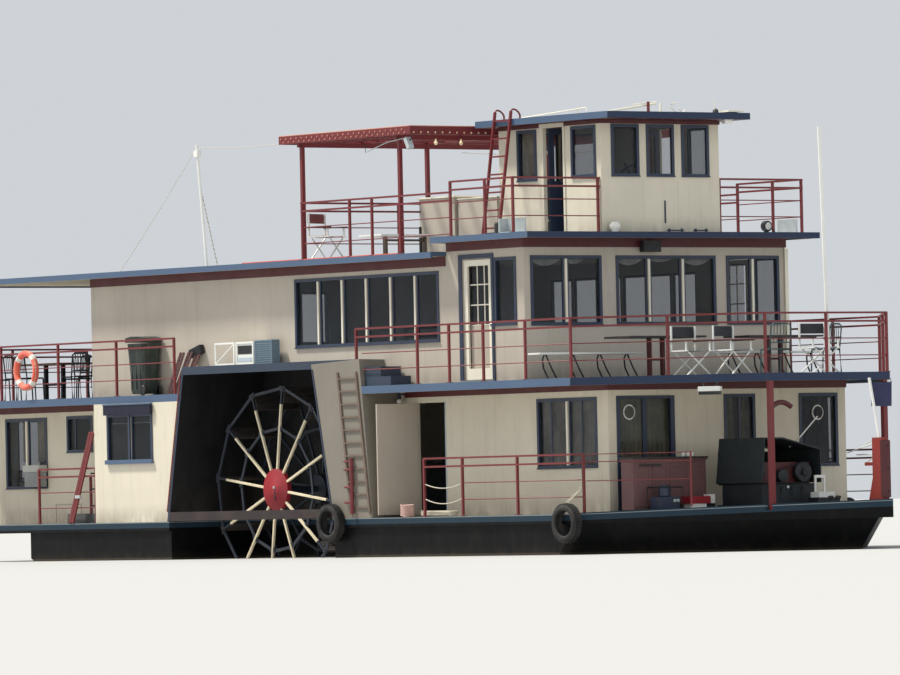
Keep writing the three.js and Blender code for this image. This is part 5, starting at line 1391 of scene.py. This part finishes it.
def metal_chair(shape, place):
    """A tube chair with a barred back and a slatted seat."""
    shape.place = place
    thick, low_bar = 0.014, 0.56
    for y in (-0.20, 0.20):
        back_leg = [(-0.20, y, NEAR), (-0.17, y, SEAT_Z), (-0.22, y, 0.86), (-0.21, y * 0.7, BACK_Z)]
        for path in ([(0.19, y, NEAR), (0.17, y, SEAT_Z)], back_leg, [(0.17, y, SEAT_Z), (-0.17, y, SEAT_Z)]):
            shape.tube(path, thick)
    shape.tube([(-0.21, -0.14, BACK_Z), (-0.21, 0.14, BACK_Z)], thick)
    shape.tube([(-0.18, -0.19, low_bar), (-0.18, 0.19, low_bar)], 0.010)
    for i in range(5):
        y = -0.13 + 0.065 * i
        shape.tube([(-0.18, y, low_bar), (-0.21, y, 0.89)], 0.007)
    for i in range(7):
        x = -0.16 + 0.053 * i
        shape.block(x - 0.020, x + 0.020, -0.19, 0.19, 0.445, 0.457)


def table(shape, place, long, wide, spread=0.5, high=0.74):
    """A table on two centre legs with cross feet."""
    shape.place = place
    under, half_leg = high - 0.035, 0.03
    shape.block(-long / 2, long / 2, -wide / 2, wide / 2, under, high)
    for x in (-spread / 2, spread / 2):
        shape.block(x - half_leg, x + half_leg, -0.04, 0.04, 0.03, under - NEAR, 1)
        shape.block(x - half_leg, x + half_leg, -wide / 2.4, wide / 2.4, NEAR, 0.03, 1)
    shape.block(-spread / 2, spread / 2, -0.015, 0.015, 0.30, 0.34, 1)


def make_foredeck_seats():
    spots = ((9.95, -0.93, 0), (10.35, -0.30, 10), (11.75, 0.55, -5))
    folding_chairs("foredeck_chairs", UPPER, spots, "black_plastic", "dark_cloth")
    metal = Shape()
    for x, y, turn in ((11.25, -0.05, 170), (10.9, 1.4, -160)):
        metal_chair(metal, Turned(x, y, UPPER, turn))
    metal.make("foredeck_metal_chairs", "boat", ["teal_steel"], "blue_paint", smooth=True)
    tables = Shape()
    for y in (-1.18, 1.55):
        table(tables, Turned(9.25, y, UPPER, 90), 1.75, 0.75, 0.30)
    tables.make("foredeck_tables", "boat", ["dark_board", "maroon_trim"], "umber_paint", 0.004)
    bench = Shape()
    legs = 4
    for y0, y1 in ((-3.30, -0.95), (0.95, 3.30)):
        bench.block(8.25, 8.60, y0, y1, UPPER + 0.44, UPPER + 0.475)
        for i in range(legs):
            y = y0 + 0.25 + (y1 - y0 - 0.5) * i / (legs - 1)
            for xs in ((8.55, 8.54, 8.50, 8.45), (8.30, 8.31, 8.35, 8.40)):
                bend = zip(xs, (0.16, 0.05, 0, 0), (0.012, 0.20, 0.36, 0.44))
                bench.tube([(x, y + out, UPPER + up) for x, out, up in bend], 0.016, 1)
    bench.make("foredeck_long_benches", "boat", ["white", "dark_steel"], "white_paint", 0.004)


def make_sun_deck():
    spots = ((0.92, -2.35, 20), (1.7, 0.6, 15), (3.1, 1.9, 100))
    folding_chairs("sun_deck_chairs", AFT_ROOF, spots, "dark_board", "maroon_cloth")
    tables = Shape()
    for y in (-1.9, 0.9):
        table(tables, Turned(2.75, y, AFT_ROOF, 90), 1.6, 0.7, 0.9, 0.42)
    tables.make("sun_deck_tables", "boat", ["white", "ladder"], "white_paint", 0.004)
    # The cabinet takes the upper walls' darker cream, painted shade
    counter = Shape(lambda x, y, z: (x, y, AFT_ROOF + z))
    counter.blocks([(1.50, 2.60, -0.62, -0.02, NEAR, 1.13), (2.66, 3.86, -0.58, 0.02, NEAR, 1.08)])
    counter.blocks([(1.47, 2.63, -0.65, 0.01, 1.131, 1.16), (2.645, 3.88, -0.60, 0.04, 1.081, 1.10)], 1)
    counter.make("sun_deck_cabinet", "boat", ["upper_shaded_cream", "mullion"], "cream_paint", 0.004)
    gear = Shape(lambda x, y, z: (x, y, AFT_ROOF + z))
    gear.blocks([(1.58, 1.62, -0.70, -0.66, NEAR, 0.62), (4.10, 4.42, -1.12, -0.80, NEAR, 0.40)])
    gear.lathe([(0, 0), (0.11, 0), (0.12, 0.02), (0.10, 0.05), (0, 0.05)], (4.26, -1.121, 0.20), "Y", 20)
    gear.make("sun_deck_appliance", "boat", ["black_plastic"], "black_paint", 0.004)


def make_aft_deck():
    aft = Shape()
    for x, y in ((-8.9, -1.9), (-7.8, 1.6)):
        table(aft, Turned(x, y, UPPER), 1.5, 0.8, 0.6)
    aft.make("aft_deck_tables", "boat", ["plank", "dark_steel"], "umber_paint", 0.004)
    chairs = Shape()
    for x, y, turn in ((-9.9, -2.6, 30), (-8.9, -2.75, 90), (-8.4, -2.8, 80), (-7.6, -2.3, 180),
                       (-9.4, -1.0, -90), (-6.7, -2.6, 100), (-8.2, 2.5, -90)):
        metal_chair(chairs, Turned(x, y, UPPER, turn))
    chairs.make("aft_deck_chairs", "boat", ["dark_steel"], "black_paint", smooth=True)


# Paddle box trims and small equipment

def make_box_trims():
    trims = Shape()
    low, high = DECK + 0.19, BOX_TOP - 0.155
    for side in SIDES:
        y0, y1 = sorted((side * (BEAM + NEAR), side * (BEAM + 0.014)))
        for way, wide, gap, tag in ((-1, 0.028, 0.064, 0), (1, 0.034, 0.004, 1)):
            foot, head = way * (box_half(low) + gap), way * (box_half(high) + gap)
            outline = [(foot, low), (head, high), (head + way * wide, high), (foot + way * wide, low)]
            trims.prism(outline, y0, y1, tag)
    trims.make("paddle_box_trims", "boat", ["maroon", "frame_blue"], "blue_paint", bevel=0.003)
    stub = Shape()
    for side in SIDES:
        y = side * 3.650
        stub.tube([(3.32, y, 0.80), (3.32, y, 1.82)], 0.036)
        for z in (1.76, 1.61, 1.29, 1.01):
            stub.tube([(3.32, y, z), (3.09, y, z)], 0.018)
            stub.tube([(3.10, y, z), (3.10, side * 3.601, z)], 0.018)
    stub.make("box_rail_stubs", "boat", ["maroon"], "maroon_paint", smooth=True)


def make_cooler():
    """A core behind corner posts, with a plate above and below and slats on two sides."""
    (x0, y0, z0), (x1, y1, z1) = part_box("cooler_unit")
    post, inset, base, face, slats = 0.03, 0.012, 0.02, 0.008, 9
    unit = Shape()
    unit.block(x0 + inset, x1 - inset, y0 + inset, y1 - inset, z0 + base, z1 - post)
    unit.block(x0, x1, y0, y1, z1 - post, z1)
    unit.block(x0, x1, y0, y1, z0, z0 + base)
    for x in (x0, x1 - post):
        for y in (y0, y1 - post):
            unit.block(x, x + post, y, y + post, z0 + base, z1 - post)
    for i in range(slats):
        z = z0 + 0.05 + (z1 - z0 - 0.12) * i / (slats - 1)
        unit.bar((x0 + post, y0 + face, z), (x1 - post, y0 + face, z), 0.014, 0.012)
        unit.bar((x1 - face, y0 + post, z), (x1 - face, y1 - post, z), 0.014, 0.012)
    unit.make("cooler_body", "boat", ["cooler_paint"], "blue_paint", 0.004, replaces=["cooler_unit"])


def make_chest():
    """A chest with a framed front, and a dark and a pale panel in it."""
    (x0, y0, z0), (x1, y1, z1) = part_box("white_chest")
    rim_deep, rim_wide, side = 0.012, 0.035, 0.06
    unit = Shape()
    unit.block(x0, x1, y0 + rim_deep, y1, z0, z1)
    border(unit, x0, x1, z0, z1, rim_wide, y0, y0 + rim_deep)
    unit.block(x0 + side, x1 - side, y0 + 0.006, y0 + 0.011, z0 + 0.20, z1 - 0.07, 1)
    unit.block(x0 + side, x1 - side, y0 + 0.004, y0 + 0.011, z0 + 0.06, z0 + 0.14, 2)
    unit.make("chest_body", "boat", ["white", "black_plastic", "pale_blue"], "white_paint", 0.004,
              replaces=["white_chest"])


def make_bin():
    """A tapered tub with a rim, a hinged lid, a handle and two wheels."""
    (x0, y0, z0), (x1, y1, z1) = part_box("wheeled_bin")
    cx, cy = (x0 + x1) / 2, (y0 + y1) / 2
    tub = Shape()

    def ring(share, z):
        hx, hy, cut = (x1 - x0) / 2 * share, (y1 - y0) / 2 * share, 0.05
        return [(cx + a, cy + b, z) for a, b in (
            (-hx + cut, -hy), (hx - cut, -hy), (hx, -hy + cut), (hx, hy - cut),
            (hx - cut, hy), (-hx + cut, hy), (-hx, hy - cut), (-hx, -hy + cut))]

    shares = ((0.74, 0.03), (0.80, 0.10), (0.81, 0.30), (0.90, 0.70), (0.95, 0.88))
    levels = [ring(share, z0 + (z1 - z0) * up) for share, up in shares]
    verts = [v for level in levels for v in level]
    faces = [(8 * k + i, 8 * k + (i + 1) % 8, 8 * k + 8 + (i + 1) % 8, 8 * k + 8 + i)
             for k in range(len(levels) - 1) for i in range(8)]
    tub.put(verts, [tuple(range(8)), tuple(range(len(verts) - 1, len(verts) - 9, -1)), *faces])
    tub.block(x0, x1, y0, y1, z1 - 0.115, z1 - 0.075)
    lid = [(x0, z1 - 0.072), (x1, z1 - 0.072), (x1, z1 - 0.045), (cx + 0.1, z1 - 0.004), (cx - 0.12, z1),
           (x0, z1 - 0.03)]
    tub.prism(lid, y0 + 0.005, y1 - 0.005)
    for u in (-0.14, 0.0, 0.14):
        tub.block(cx + u - 0.012, cx + u + 0.012, y0 + 0.030, y0 + 0.05, z0 + 0.12, z0 + 0.86)
    near, far, grip = y0 + 0.06, y1 - 0.06, x1 - 0.005
    tub.tube([(x1 - 0.02, near, z1 - 0.10), (grip, near, z1 - 0.05), (grip, far, z1 - 0.05),
              (x1 - 0.02, far, z1 - 0.10)], 0.012)
    for y in (y0 + 0.035, y1 - 0.075):
        tub.lathe([(0, 0), (0.09, 0), (0.10, 0.008), (0.10, 0.034), (0.09, 0.042), (0, 0.042)],
                  (x1 - 0.11, y, z0 + 0.101), "Y", 20, 1)
    tub.make("bin_body", "boat", ["bin", "black_plastic"], "bin_plastic", 0.006, replaces=["wheeled_bin"])


def make_buoy():
    """A round ring with four bands, and a rope that is slack between them."""
    (x0, y0, z0), (x1, y1, z1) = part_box("lifebuoy")
    cx, cy, cz = (x0 + x1) / 2, (y0 + y1) / 2, (z0 + z1) / 2
    tube = (y1 - y0) / 2
    major = (x1 - x0) / 2 - tube
    ring = Shape()
    sides, quarter, rope_steps = 14, math.pi / 2, 10
    circle = [(major + tube * math.cos(2 * math.pi * i / sides), tube * math.sin(2 * math.pi * i / sides))
              for i in range(sides)]
    ring.lathe(circle, (cx, cy, cz), "Y", 48, closed=True)
    for k in range(4):
        middle = quarter * (k + 0.5)
        path = [(cx + major * math.cos(a), cy, cz + major * math.sin(a))
                for a in (middle + math.radians(d) for d in range(-9, 10, 3))]
        for a, b in zip(path, path[1:]):
            ring.tube([a, b], tube + 0.0015, 1, 18)
        rope = []
        for i in range(rope_steps + 1):
            a = middle + quarter * i / rope_steps
            reach = major + tube * 0.75 + 0.012 * math.sin(math.pi * i / rope_steps)
            rope.append((cx + reach * math.cos(a), cy - tube * 0.55, cz + reach * math.sin(a)))
        ring.tube(rope, 0.006, 2, 6)
    ring.make("lifebuoy_ring", "boat", ["buoy", "band", "rope"], "buoy_fabric", smooth=True,
              replaces=["lifebuoy"])


TYRE_HALF = [(0.226, 0.070), (0.236, 0.083), (0.257, 0.090), (0.290, 0.088), (0.320, 0.078), (0.337, 0.064),
             (0.343, 0.040)]
LUGS = 40


def tread_lugs(tyre, centre):
    """Three staggered rows of lugs round a tyre: (across, part of a step, inner radius, outer radius)."""
    rows = ((-0.052, 0.0, 0.327, 0.351), (0.0, 0.5, 0.337, 0.355), (0.052, 0.0, 0.327, 0.351))
    for i in range(LUGS):
        for across, shift, inner, outer in rows:
            angle = 2 * math.pi * (i + shift) / LUGS
            along = Vector((math.cos(angle), 0, math.sin(angle)))
            over = Vector((-math.sin(angle), 0, math.cos(angle)))
            middle = centre + Vector((0, across, 0))
            corners = [tuple(middle + along * r + over * t + Vector((0, w, 0)))
                       for r in (inner, outer) for w in (-0.021, 0.021) for t in (-0.017, 0.017)]
            tyre.put(corners, GRID_FACES)


def make_tyre(node):
    low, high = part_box(node)
    centre = Vector([(a + b) / 2 for a, b in zip(low, high)])
    tyre = Shape()
    outside = [(r, way * half) for way, half_profile in ((-1, TYRE_HALF), (1, TYRE_HALF[::-1]))
               for r, half in half_profile]
    tyre.lathe([*outside, (0.240, 0.052), (0.254, 0.0), (0.240, -0.052)], centre, "Y", 48, closed=True)
    tread_lugs(tyre, centre)
    tyre.make(node + "_tread", "boat", ["tyre"], "tyre_rubber", smooth=True, replaces=[node])


# Loose things on the decks

def make_planks():
    planks = Shape()
    for shift in (0.0, -0.09):
        planks.bar((-5.87 + shift, -3.600, 0.735), (-5.115 + shift, -3.600, 2.46), 0.034, 0.075)
    planks.block(-5.735, -5.565, -3.632, -3.582, 1.20, 1.26, 1)
    planks.make("leaning_planks", "boat", ["maroon", "grey_plastic"], "maroon_paint", 0.004)


def make_deck_boxes():
    boxes = Shape()
    boxes.block(-6.25, -5.30, -3.46, -3.10, DECK + NEAR, DECK + 0.19)
    for z in (1.04, 1.36, 1.66):
        boxes.block(-5.44, -5.085, -3.46, -3.42, z, z + 0.03, 1)
    boxes.tube([(-5.46, -3.44, DECK + 0.19), (-5.46, -3.44, 1.62)], 0.030, 4)
    boxes.block(-8.50, -7.97, -2.93, -2.766, 1.45, 1.74, 2)
    boxes.block(-8.52, -7.95, -2.96, -2.766, 1.741, 1.87, 3)
    for i in range(7):
        z = 1.49 + 0.034 * i
        boxes.block(-8.46, -8.01, -2.936, -2.931, z, z + 0.012, 2)
    looks = ["dark_cloth", "black_plastic", "appliance_grey", "pale_grey", "maroon"]
    boxes.make("aft_deck_boxes", "boat", looks, "white_paint", 0.004)


def make_leaning_things():
    outline = Shape(on_side(-1, MAIN_Y))
    for u0, u1, v0, v1 in ((-7.72, -7.70, DECK + 0.03, 1.08), (-6.85, -6.83, DECK + 0.03, 1.08),
                           (-7.72, -6.83, 1.08, 1.10)):
        outline.block(u0, u1, NEAR, 0.008, v0, v1)
    outline.make("wall_hatch_outline", "boat", ["door_greige"], "cream_paint")
    panel = Shape(on_side(-1, 3.28))
    border(panel, -1.44, -0.80, BOX_TOP + NEAR, 4.06, 0.035, 0.0, 0.025)
    panel.bar((-1.41, 0.012, 3.67), (-0.83, 0.012, 4.02), 0.02, 0.022)
    panel.make("leaning_panel", "boat", ["white"], "white_paint", 0.003)
    folded = Shape()
    for x0, x1, y in ((-2.92, -2.66, -3.36), (-2.80, -2.48, -3.30), (-2.66, -2.30, -3.24)):
        for shift in (0.0, 0.10):
            folded.bar((x0 + shift, y, UPPER + 0.02), (x1 + shift, y + 0.14, 3.92), 0.030, 0.045, 1)
        for t in (0.3, 0.55, 0.8):
            x, z = x0 + (x1 - x0) * t, UPPER + 0.02 + (3.90 - UPPER) * t
            folded.bar((x + 0.02, y + 0.14 * t, z), (x + 0.09, y + 0.14 * t, z), 0.02, 0.03, 0)
    folded.bar((-2.52, -3.08, 3.88), (-2.16, -3.08, 3.98), 0.10, 0.16, 0)
    folded.make("folded_chairs", "boat", ["dark_steel", "cabinet_red"], "black_paint", bevel=0.003)


def make_wall_lamp():
    lamp = Shape()
    lamp.blocks([(3.74, 3.80, -2.86, -2.732, 2.96, 2.99), (3.745, 3.795, -2.88, -2.83, 2.88, 2.96)])
    lamp.lathe([(0, 0), (0.045, 0.01), (0.055, 0.05), (0.03, 0.08), (0, 0.08)], (3.77, -2.855, 2.80),
               "Z", 16, 1)
    lamp.make("wall_lamp", "boat", ["frame_blue", "white"], "white_paint", 0.003)


def make_tyre_ropes():
    ropes = Shape()
    for dx in (-0.03, 0.03):
        ropes.tube([(9.78 + dx, -3.69, 0.916), (9.82 + dx, -3.60, 1.00), (9.895 + dx / 3, -3.452, 1.16),
                    (9.905 + dx / 3, -3.440, 1.50)], 0.009)
    ropes.make("fender_ropes", "boat", ["rope"], "white_paint", smooth=True)


def make_bow_cloth():
    """A plain cloth that hangs from the upper deck's edge beside the port corner post."""
    left, wide, drop = 0.95, 0.48, 0.42
    line = Shape()
    line.tube([(12.675, 0.94, 2.945), (12.675, 1.44, 2.945)], 0.006)
    for y in (0.96, 1.42):
        line.bar((12.675, y, 2.95), (12.662, y, 3.01), 0.008, 0.008)
    line.make("bow_cloth_line", "boat", ["dark_steel"], "black_paint", smooth=True)
    ys = [left + wide * i / 24 for i in range(25)]
    rows = [[(12.677 + 0.016 * down * math.sin(9 * (y - left)), y, 2.937 - drop * down) for y in ys]
            for down in (0.0, 0.2, 0.4, 0.6, 0.8, 1.0)]
    cloth = Shape()
    cloth.cloth(rows, (0.002, 0, 0))
    piece = cloth.make("bow_cloth", "boat", ["navy_cloth"], "blue_paint", smooth=True)


# Foredeck machinery, cabinet and bow

def make_cabinet():
    (x0, y0, z0), (x1, y1, z1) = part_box("foredeck_bench")
    unit = Shape()
    unit.block(x0 + 0.02, x1 - 0.05, y0 + 0.03, y1 - 0.02, z0 + 0.05, z1 - 0.07, 0)
    unit.block(x0 + 0.05, x1 - 0.08, y0 + 0.06, y1 - 0.05, z0, z0 + 0.05, 1)
    unit.block(x0, x1, y0, y1, z1 - 0.035, z1, 1)
    unit.block(x0 + 0.01, x1 - 0.02, y0 + 0.01, y1 - 0.01, z1 - 0.07, z1 - 0.035, 0)
    doors, stile = 4, 0.05
    width = (y1 - y0 - 0.10) / doors
    c, d = z0 + 0.10, z1 - 0.13
    for i in range(doors):
        a = y0 + 0.07 + i * width
        b = a + width - 0.04
        unit.blocks([(x1 - 0.051, x1 - 0.036, *rim) for rim in (
            (a, b, c, c + stile), (a, b, d - stile, d),
            (a, a + stile, c + stile, d - stile), (b - stile, b, c + stile, d - stile))])
    unit.block(x1 - 0.036, x1 - 0.022, y0 + 0.16, y0 + 0.66, z1 - 0.165, z1 - 0.125, 1)
    for shift in (1.25, 1.36, 1.45):
        unit.lathe([(0, 0), (0.03, 0), (0.035, 0.06), (0.02, 0.075), (0, 0.08)], (x1 - 0.15, y0 + shift, z1),
                   sides=12, tag=2)
    unit.make("cabinet_body", "boat", ["cabinet_red", "dark_board", "white"], "maroon_paint", 0.004,
              replaces=["foredeck_bench"])


def put_hood(hood, x0, x1, outline, inner):
    """A bent sheet open at both ends, between an outer and an inner outline of (y, z) points."""
    count = len(outline)
    verts = [(x, y, z) for x in (x0, x1) for y, z in outline + inner]
    faces = []
    for start, shift in ((0, count), (2 * count, count), (0, 2 * count), (count, 2 * count)):
        for i in range(count):
            a, b = start + i, start + (i + 1) % count
            faces.append((a, b, b + shift, a + shift))
    hood.put(verts, faces)


def make_machinery():
    (x0, y0, z0), (x1, y1, z1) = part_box("foredeck_housing")
    hood = Shape()
    ridge, far_head = -0.45, 1.79
    outline = [(y0, 1.20), (y1, 1.20), (y1, far_head), (ridge, z1), (y0 + 0.09, z1)]
    inner = [(y0 + 0.028, 1.19), (y1 - 0.025, 1.19), (y1 - 0.025, far_head - 0.02),
             (ridge - 0.005, z1 - 0.028), (y0 + 0.105, z1 - 0.028)]
    put_hood(hood, x0, x1 - 0.01, outline, inner)
    hood.block(x0 + 0.03, x0 + 0.05, y0 + 0.03, y1 - 0.03, z0 + 0.45, 1.76)
    for x in (x0 + 0.2, x0 + 0.62, x1 - 0.2):
        for (ya, za), (yb, zb) in zip(outline[2:], outline[3:]):
            hood.bar((x, ya, za - 0.004), (x, yb, zb - 0.004), 0.012, 0.012)
    hood.block(x0 + 0.10, x1 - 0.08, y0 + 0.06, y1 - 0.05, z0 + 0.10, z0 + 0.46)
    hood.block(x0 + 0.16, x1 - 0.20, y0 + 0.20, y1 - 0.12, z0 + 0.46, 1.56, 1)
    hood.block(x0 + 0.02, x1, y0, y1, z0, z0 + 0.10, 2)
    front = x1 - 0.195
    hood.lathe([(0, 0), (0.17, 0), (0.19, 0.02), (0.19, 0.10), (0.17, 0.12), (0.06, 0.12), (0.06, 0.16),
                (0, 0.16)], (front, 0.08, z0 + 0.66), "X", 28, 2)
    hood.lathe([(0, 0), (0.10, 0), (0.11, 0.02), (0.11, 0.12), (0, 0.14)], (front, -0.40, z0 + 0.60), "X")
    hood.tube([(x1 - 0.12, 0.08, z0 + 0.84), (x1 - 0.12, -0.40, z0 + 0.71)], 0.012, 2)
    for i in range(4):
        y = y0 + 0.22 + 0.24 * i
        hood.tube([(x1 - 0.10, y, z0 + 0.14), (x1 - 0.06, y + 0.05, z0 + 0.40)], 0.022, 2)
    for i in range(4):
        x = x0 + 0.28 + 0.24 * i
        hood.block(x, x + 0.16, y0 + 0.15, y0 + 0.20, z0 + 0.60, z0 + 0.82, 2 if i % 2 else 1)
        pipe = [(x + 0.08, y0 + out, z0 + up) for out, up in ((0.15, 0.86), (0.06, 0.70), (0.04, 0.48))]
        hood.tube(pipe, 0.022, 2 if i % 2 else 0)
    hood.lathe([(0, 0), (0.025, 0), (0.025, 0.02), (0, 0.02)], (x1 - 0.085, -0.30, z0 + 0.40), "X", 12, 3)
    hood.tube([(x1 - 0.5, 0.10, 1.83), (x1 - 0.3, 0.17, 1.99), (x1 - 0.3, 0.595, 2.366)], 0.012, 3)
    hood.make("machine_under_hood", "boat", ["hood_green", "machine_red", "dark_steel", "white"],
              "black_paint", 0.005, replaces=["foredeck_housing"])


def make_small_engines():
    small = Shape(lambda x, y, z: (10.80 + x, -2.28 + y, DECK + z))
    small.block(-0.14, 0.16, -0.21, 0.21, 0.06, 0.27)
    small.lathe([(0, 0), (0.10, 0), (0.11, 0.02), (0.11, 0.18), (0.09, 0.21), (0, 0.21)], (0, 0, 0.27),
                "Z", 18)
    corners = ((-0.17, 0.03), (0.19, 0.03), (0.19, 0.44), (-0.17, 0.44))
    for y in (-0.25, 0.25):
        small.tube([(x, y, z) for x, z in corners], 0.013, 2, closed=True)
    for x, z in corners:
        small.tube([(x, -0.237, z), (x, 0.237, z)], 0.013, 2)
    small.block(-0.12, 0.14, -0.23, 0.23, 0.02, 0.06, 2)
    for y in (0.09, 0.16):
        small.lathe([(0, 0), (0.030, 0), (0.030, 0.03), (0, 0.03)], (0.16, y, 0.20), "X", 12, 4)
    small.place = lambda x, y, z: (10.78 + x, -1.56 + y, DECK + z)
    small.block(-0.12, 0.15, -0.24, 0.22, 0.14, 0.27, 1)
    small.blocks([(-0.10, 0.13, -0.20, 0.14, 0.03, 0.14), (-0.06, 0.10, 0.225, 0.36, 0.14, 0.30)], 3)
    small.block(-0.08, 0.12, 0.16, 0.34, 0.0012, 0.14, 2)
    for x in (-0.06, 0.08):
        small.block(x, x + 0.03, -0.20, 0.14, NEAR, 0.03, 2)
    small.make("small_engines", "boat", ["frame_blue", "red", "dark_steel", "white", "grey_plastic"],
               "engine_paint", 0.005)


def make_bow_fittings():
    bow = Shape(lambda x, y, z: (x, y, DECK + z))
    bow.blocks([(12.16, 12.20, y, y + 0.03, 0.30, 0.60) for y in (0.02, 0.22)])
    bow.block(12.16, 12.20, 0.05, 0.22, 0.55, 0.60)
    bow.block(12.06, 12.34, -0.04, 0.38, NEAR, 0.20, 1)
    bow.block(12.08, 12.32, 0.0, 0.36, 0.201, 0.299)
    for x in (13.25, 13.45):
        bow.lathe([(0, 0), (0.05, 0), (0.05, 0.02), (0.034, 0.03), (0.034, 0.16), (0.05, 0.17), (0.05, 0.21),
                   (0, 0.22)], (x, -0.50, 0.013), "Z", 16, 1)
    bow.block(13.18, 13.52, -0.56, -0.44, NEAR, 0.013, 1)
    bow.make("bow_fittings", "boat", ["white", "dark_steel"], "white_paint", 0.004)


def make_bow_post_fittings():
    x1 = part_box("bow_post")[1][0]
    aft = BOW_POST_AFT_X - NEAR
    arm = Shape()
    arm.block(aft - 0.26, aft, -0.03, 0.03, 1.46, 1.52)
    arm.prism([(aft, 0.74), (aft, 1.30), (aft - 0.04, 1.30), (aft - 0.20, 0.74)], -0.025, 0.025)
    arm.block(x1 + NEAR, x1 + 0.022, -0.11, 0.11, 0.90, 1.90, 1)
    for z in (1.0, 1.4, 1.8):
        arm.lathe([(0, 0), (0.018, 0), (0.018, 0.01), (0, 0.014)], (x1 + 0.022, 0.06, z), "X", 6, 2)
    stays = (
        (-0.045, 1.84, (12.645, 0.40, 1.70), 0.012), (0.045, 1.66, (12.645, 0.62, 1.66), 0.012),
        (0.0, 1.94, (13.50, 0.10, 1.84), 0.011), (0.0, 1.62, (13.52, 0.10, 1.52), 0.011),
    )
    for y, high, end, radius in stays:
        arm.tube([(aft, y, high), end], radius, 3)
    arm.make("bow_post_fittings", "boat", ["bow_red", "maroon_trim", "dark_steel", "white"], "maroon_paint",
             0.003)


def make_foredeck_fittings():
    lamp = Shape(Turned(11.86, -2.07, 0, 37.9))
    lamp.block(-0.20, 0.20, -0.02, 0.16, 2.83, 2.914)
    lamp.block(-0.19, 0.19, -0.01, 0.15, 2.77, 2.829, 1)
    for x in (-0.12, 0.12):
        lamp.block(x - 0.015, x + 0.015, 0.05, 0.09, 2.914, 2.989, 1)
    lamp.make("foredeck_floodlight", "boat", ["white", "black_plastic"], "white_paint", 0.006)
    horn = Shape()
    steps, reach, rise = 12, 0.42, 0.11
    path = []
    for i in range(steps + 1):
        t = i / steps
        path.append((12.60, -1.245 + reach * t, 2.50 + rise * math.sin(math.pi * (0.12 + 0.80 * t))))
    horn.tube(path, 0.045, 0, 10)
    horn.make("corner_post_horn", "boat", ["maroon_trim"], "umber_paint", smooth=True)
    rail = Shape()
    rail.tube([(11.55, -2.27, DECK + 0.10), (11.55, -2.27, 1.79)], 0.018)
    for forward, aft in ((1.77, 1.77), (1.30, 1.30), (1.62, 1.64)):
        rail.tube([(11.54, -2.275, forward), (9.975, -3.385, aft)], 0.008)
    rail.make("foredeck_wire_post", "boat", ["maroon"], "maroon_paint", smooth=True)


MATERIALS = make_materials()
make_camera()
make_cords()
make_light()
make_floor()
dress_frame()
make_windows()
for hand in SIDES:
    make_side_curtains(hand)
make_front_curtains()
make_window_stiles()
make_wall_trim()
for hand in SIDES:
    make_wheel(hand)
make_rail_rods()
make_post_feet()
for hand in SIDES:
    make_upper_door(hand)
    make_door_casings(hand)
make_front_door()
make_aerials()
make_front_lamps()
make_roof_lights()
for hand in SIDES:
    make_nav_light(hand)
make_ladder_tops()
make_pergola_boards()
make_bulbs()
make_pergola_floodlight()
make_roof_edge_strip()
make_strings()
make_foredeck_seats()
make_sun_deck()
make_aft_deck()
make_box_trims()
make_cooler()
make_chest()
make_bin()
make_buoy()
for hand in SIDES:
    for end in ("aft", "forward"):
        make_tyre(f"tyre_fender_{end}_{SIDE_NAMES[hand]}")
make_planks()
make_deck_boxes()
make_leaning_things()
make_wall_lamp()
make_tyre_ropes()
make_bow_cloth()
make_cabinet()
make_machinery()
make_small_engines()
make_bow_fittings()
make_bow_post_fittings()
make_foredeck_fittings()
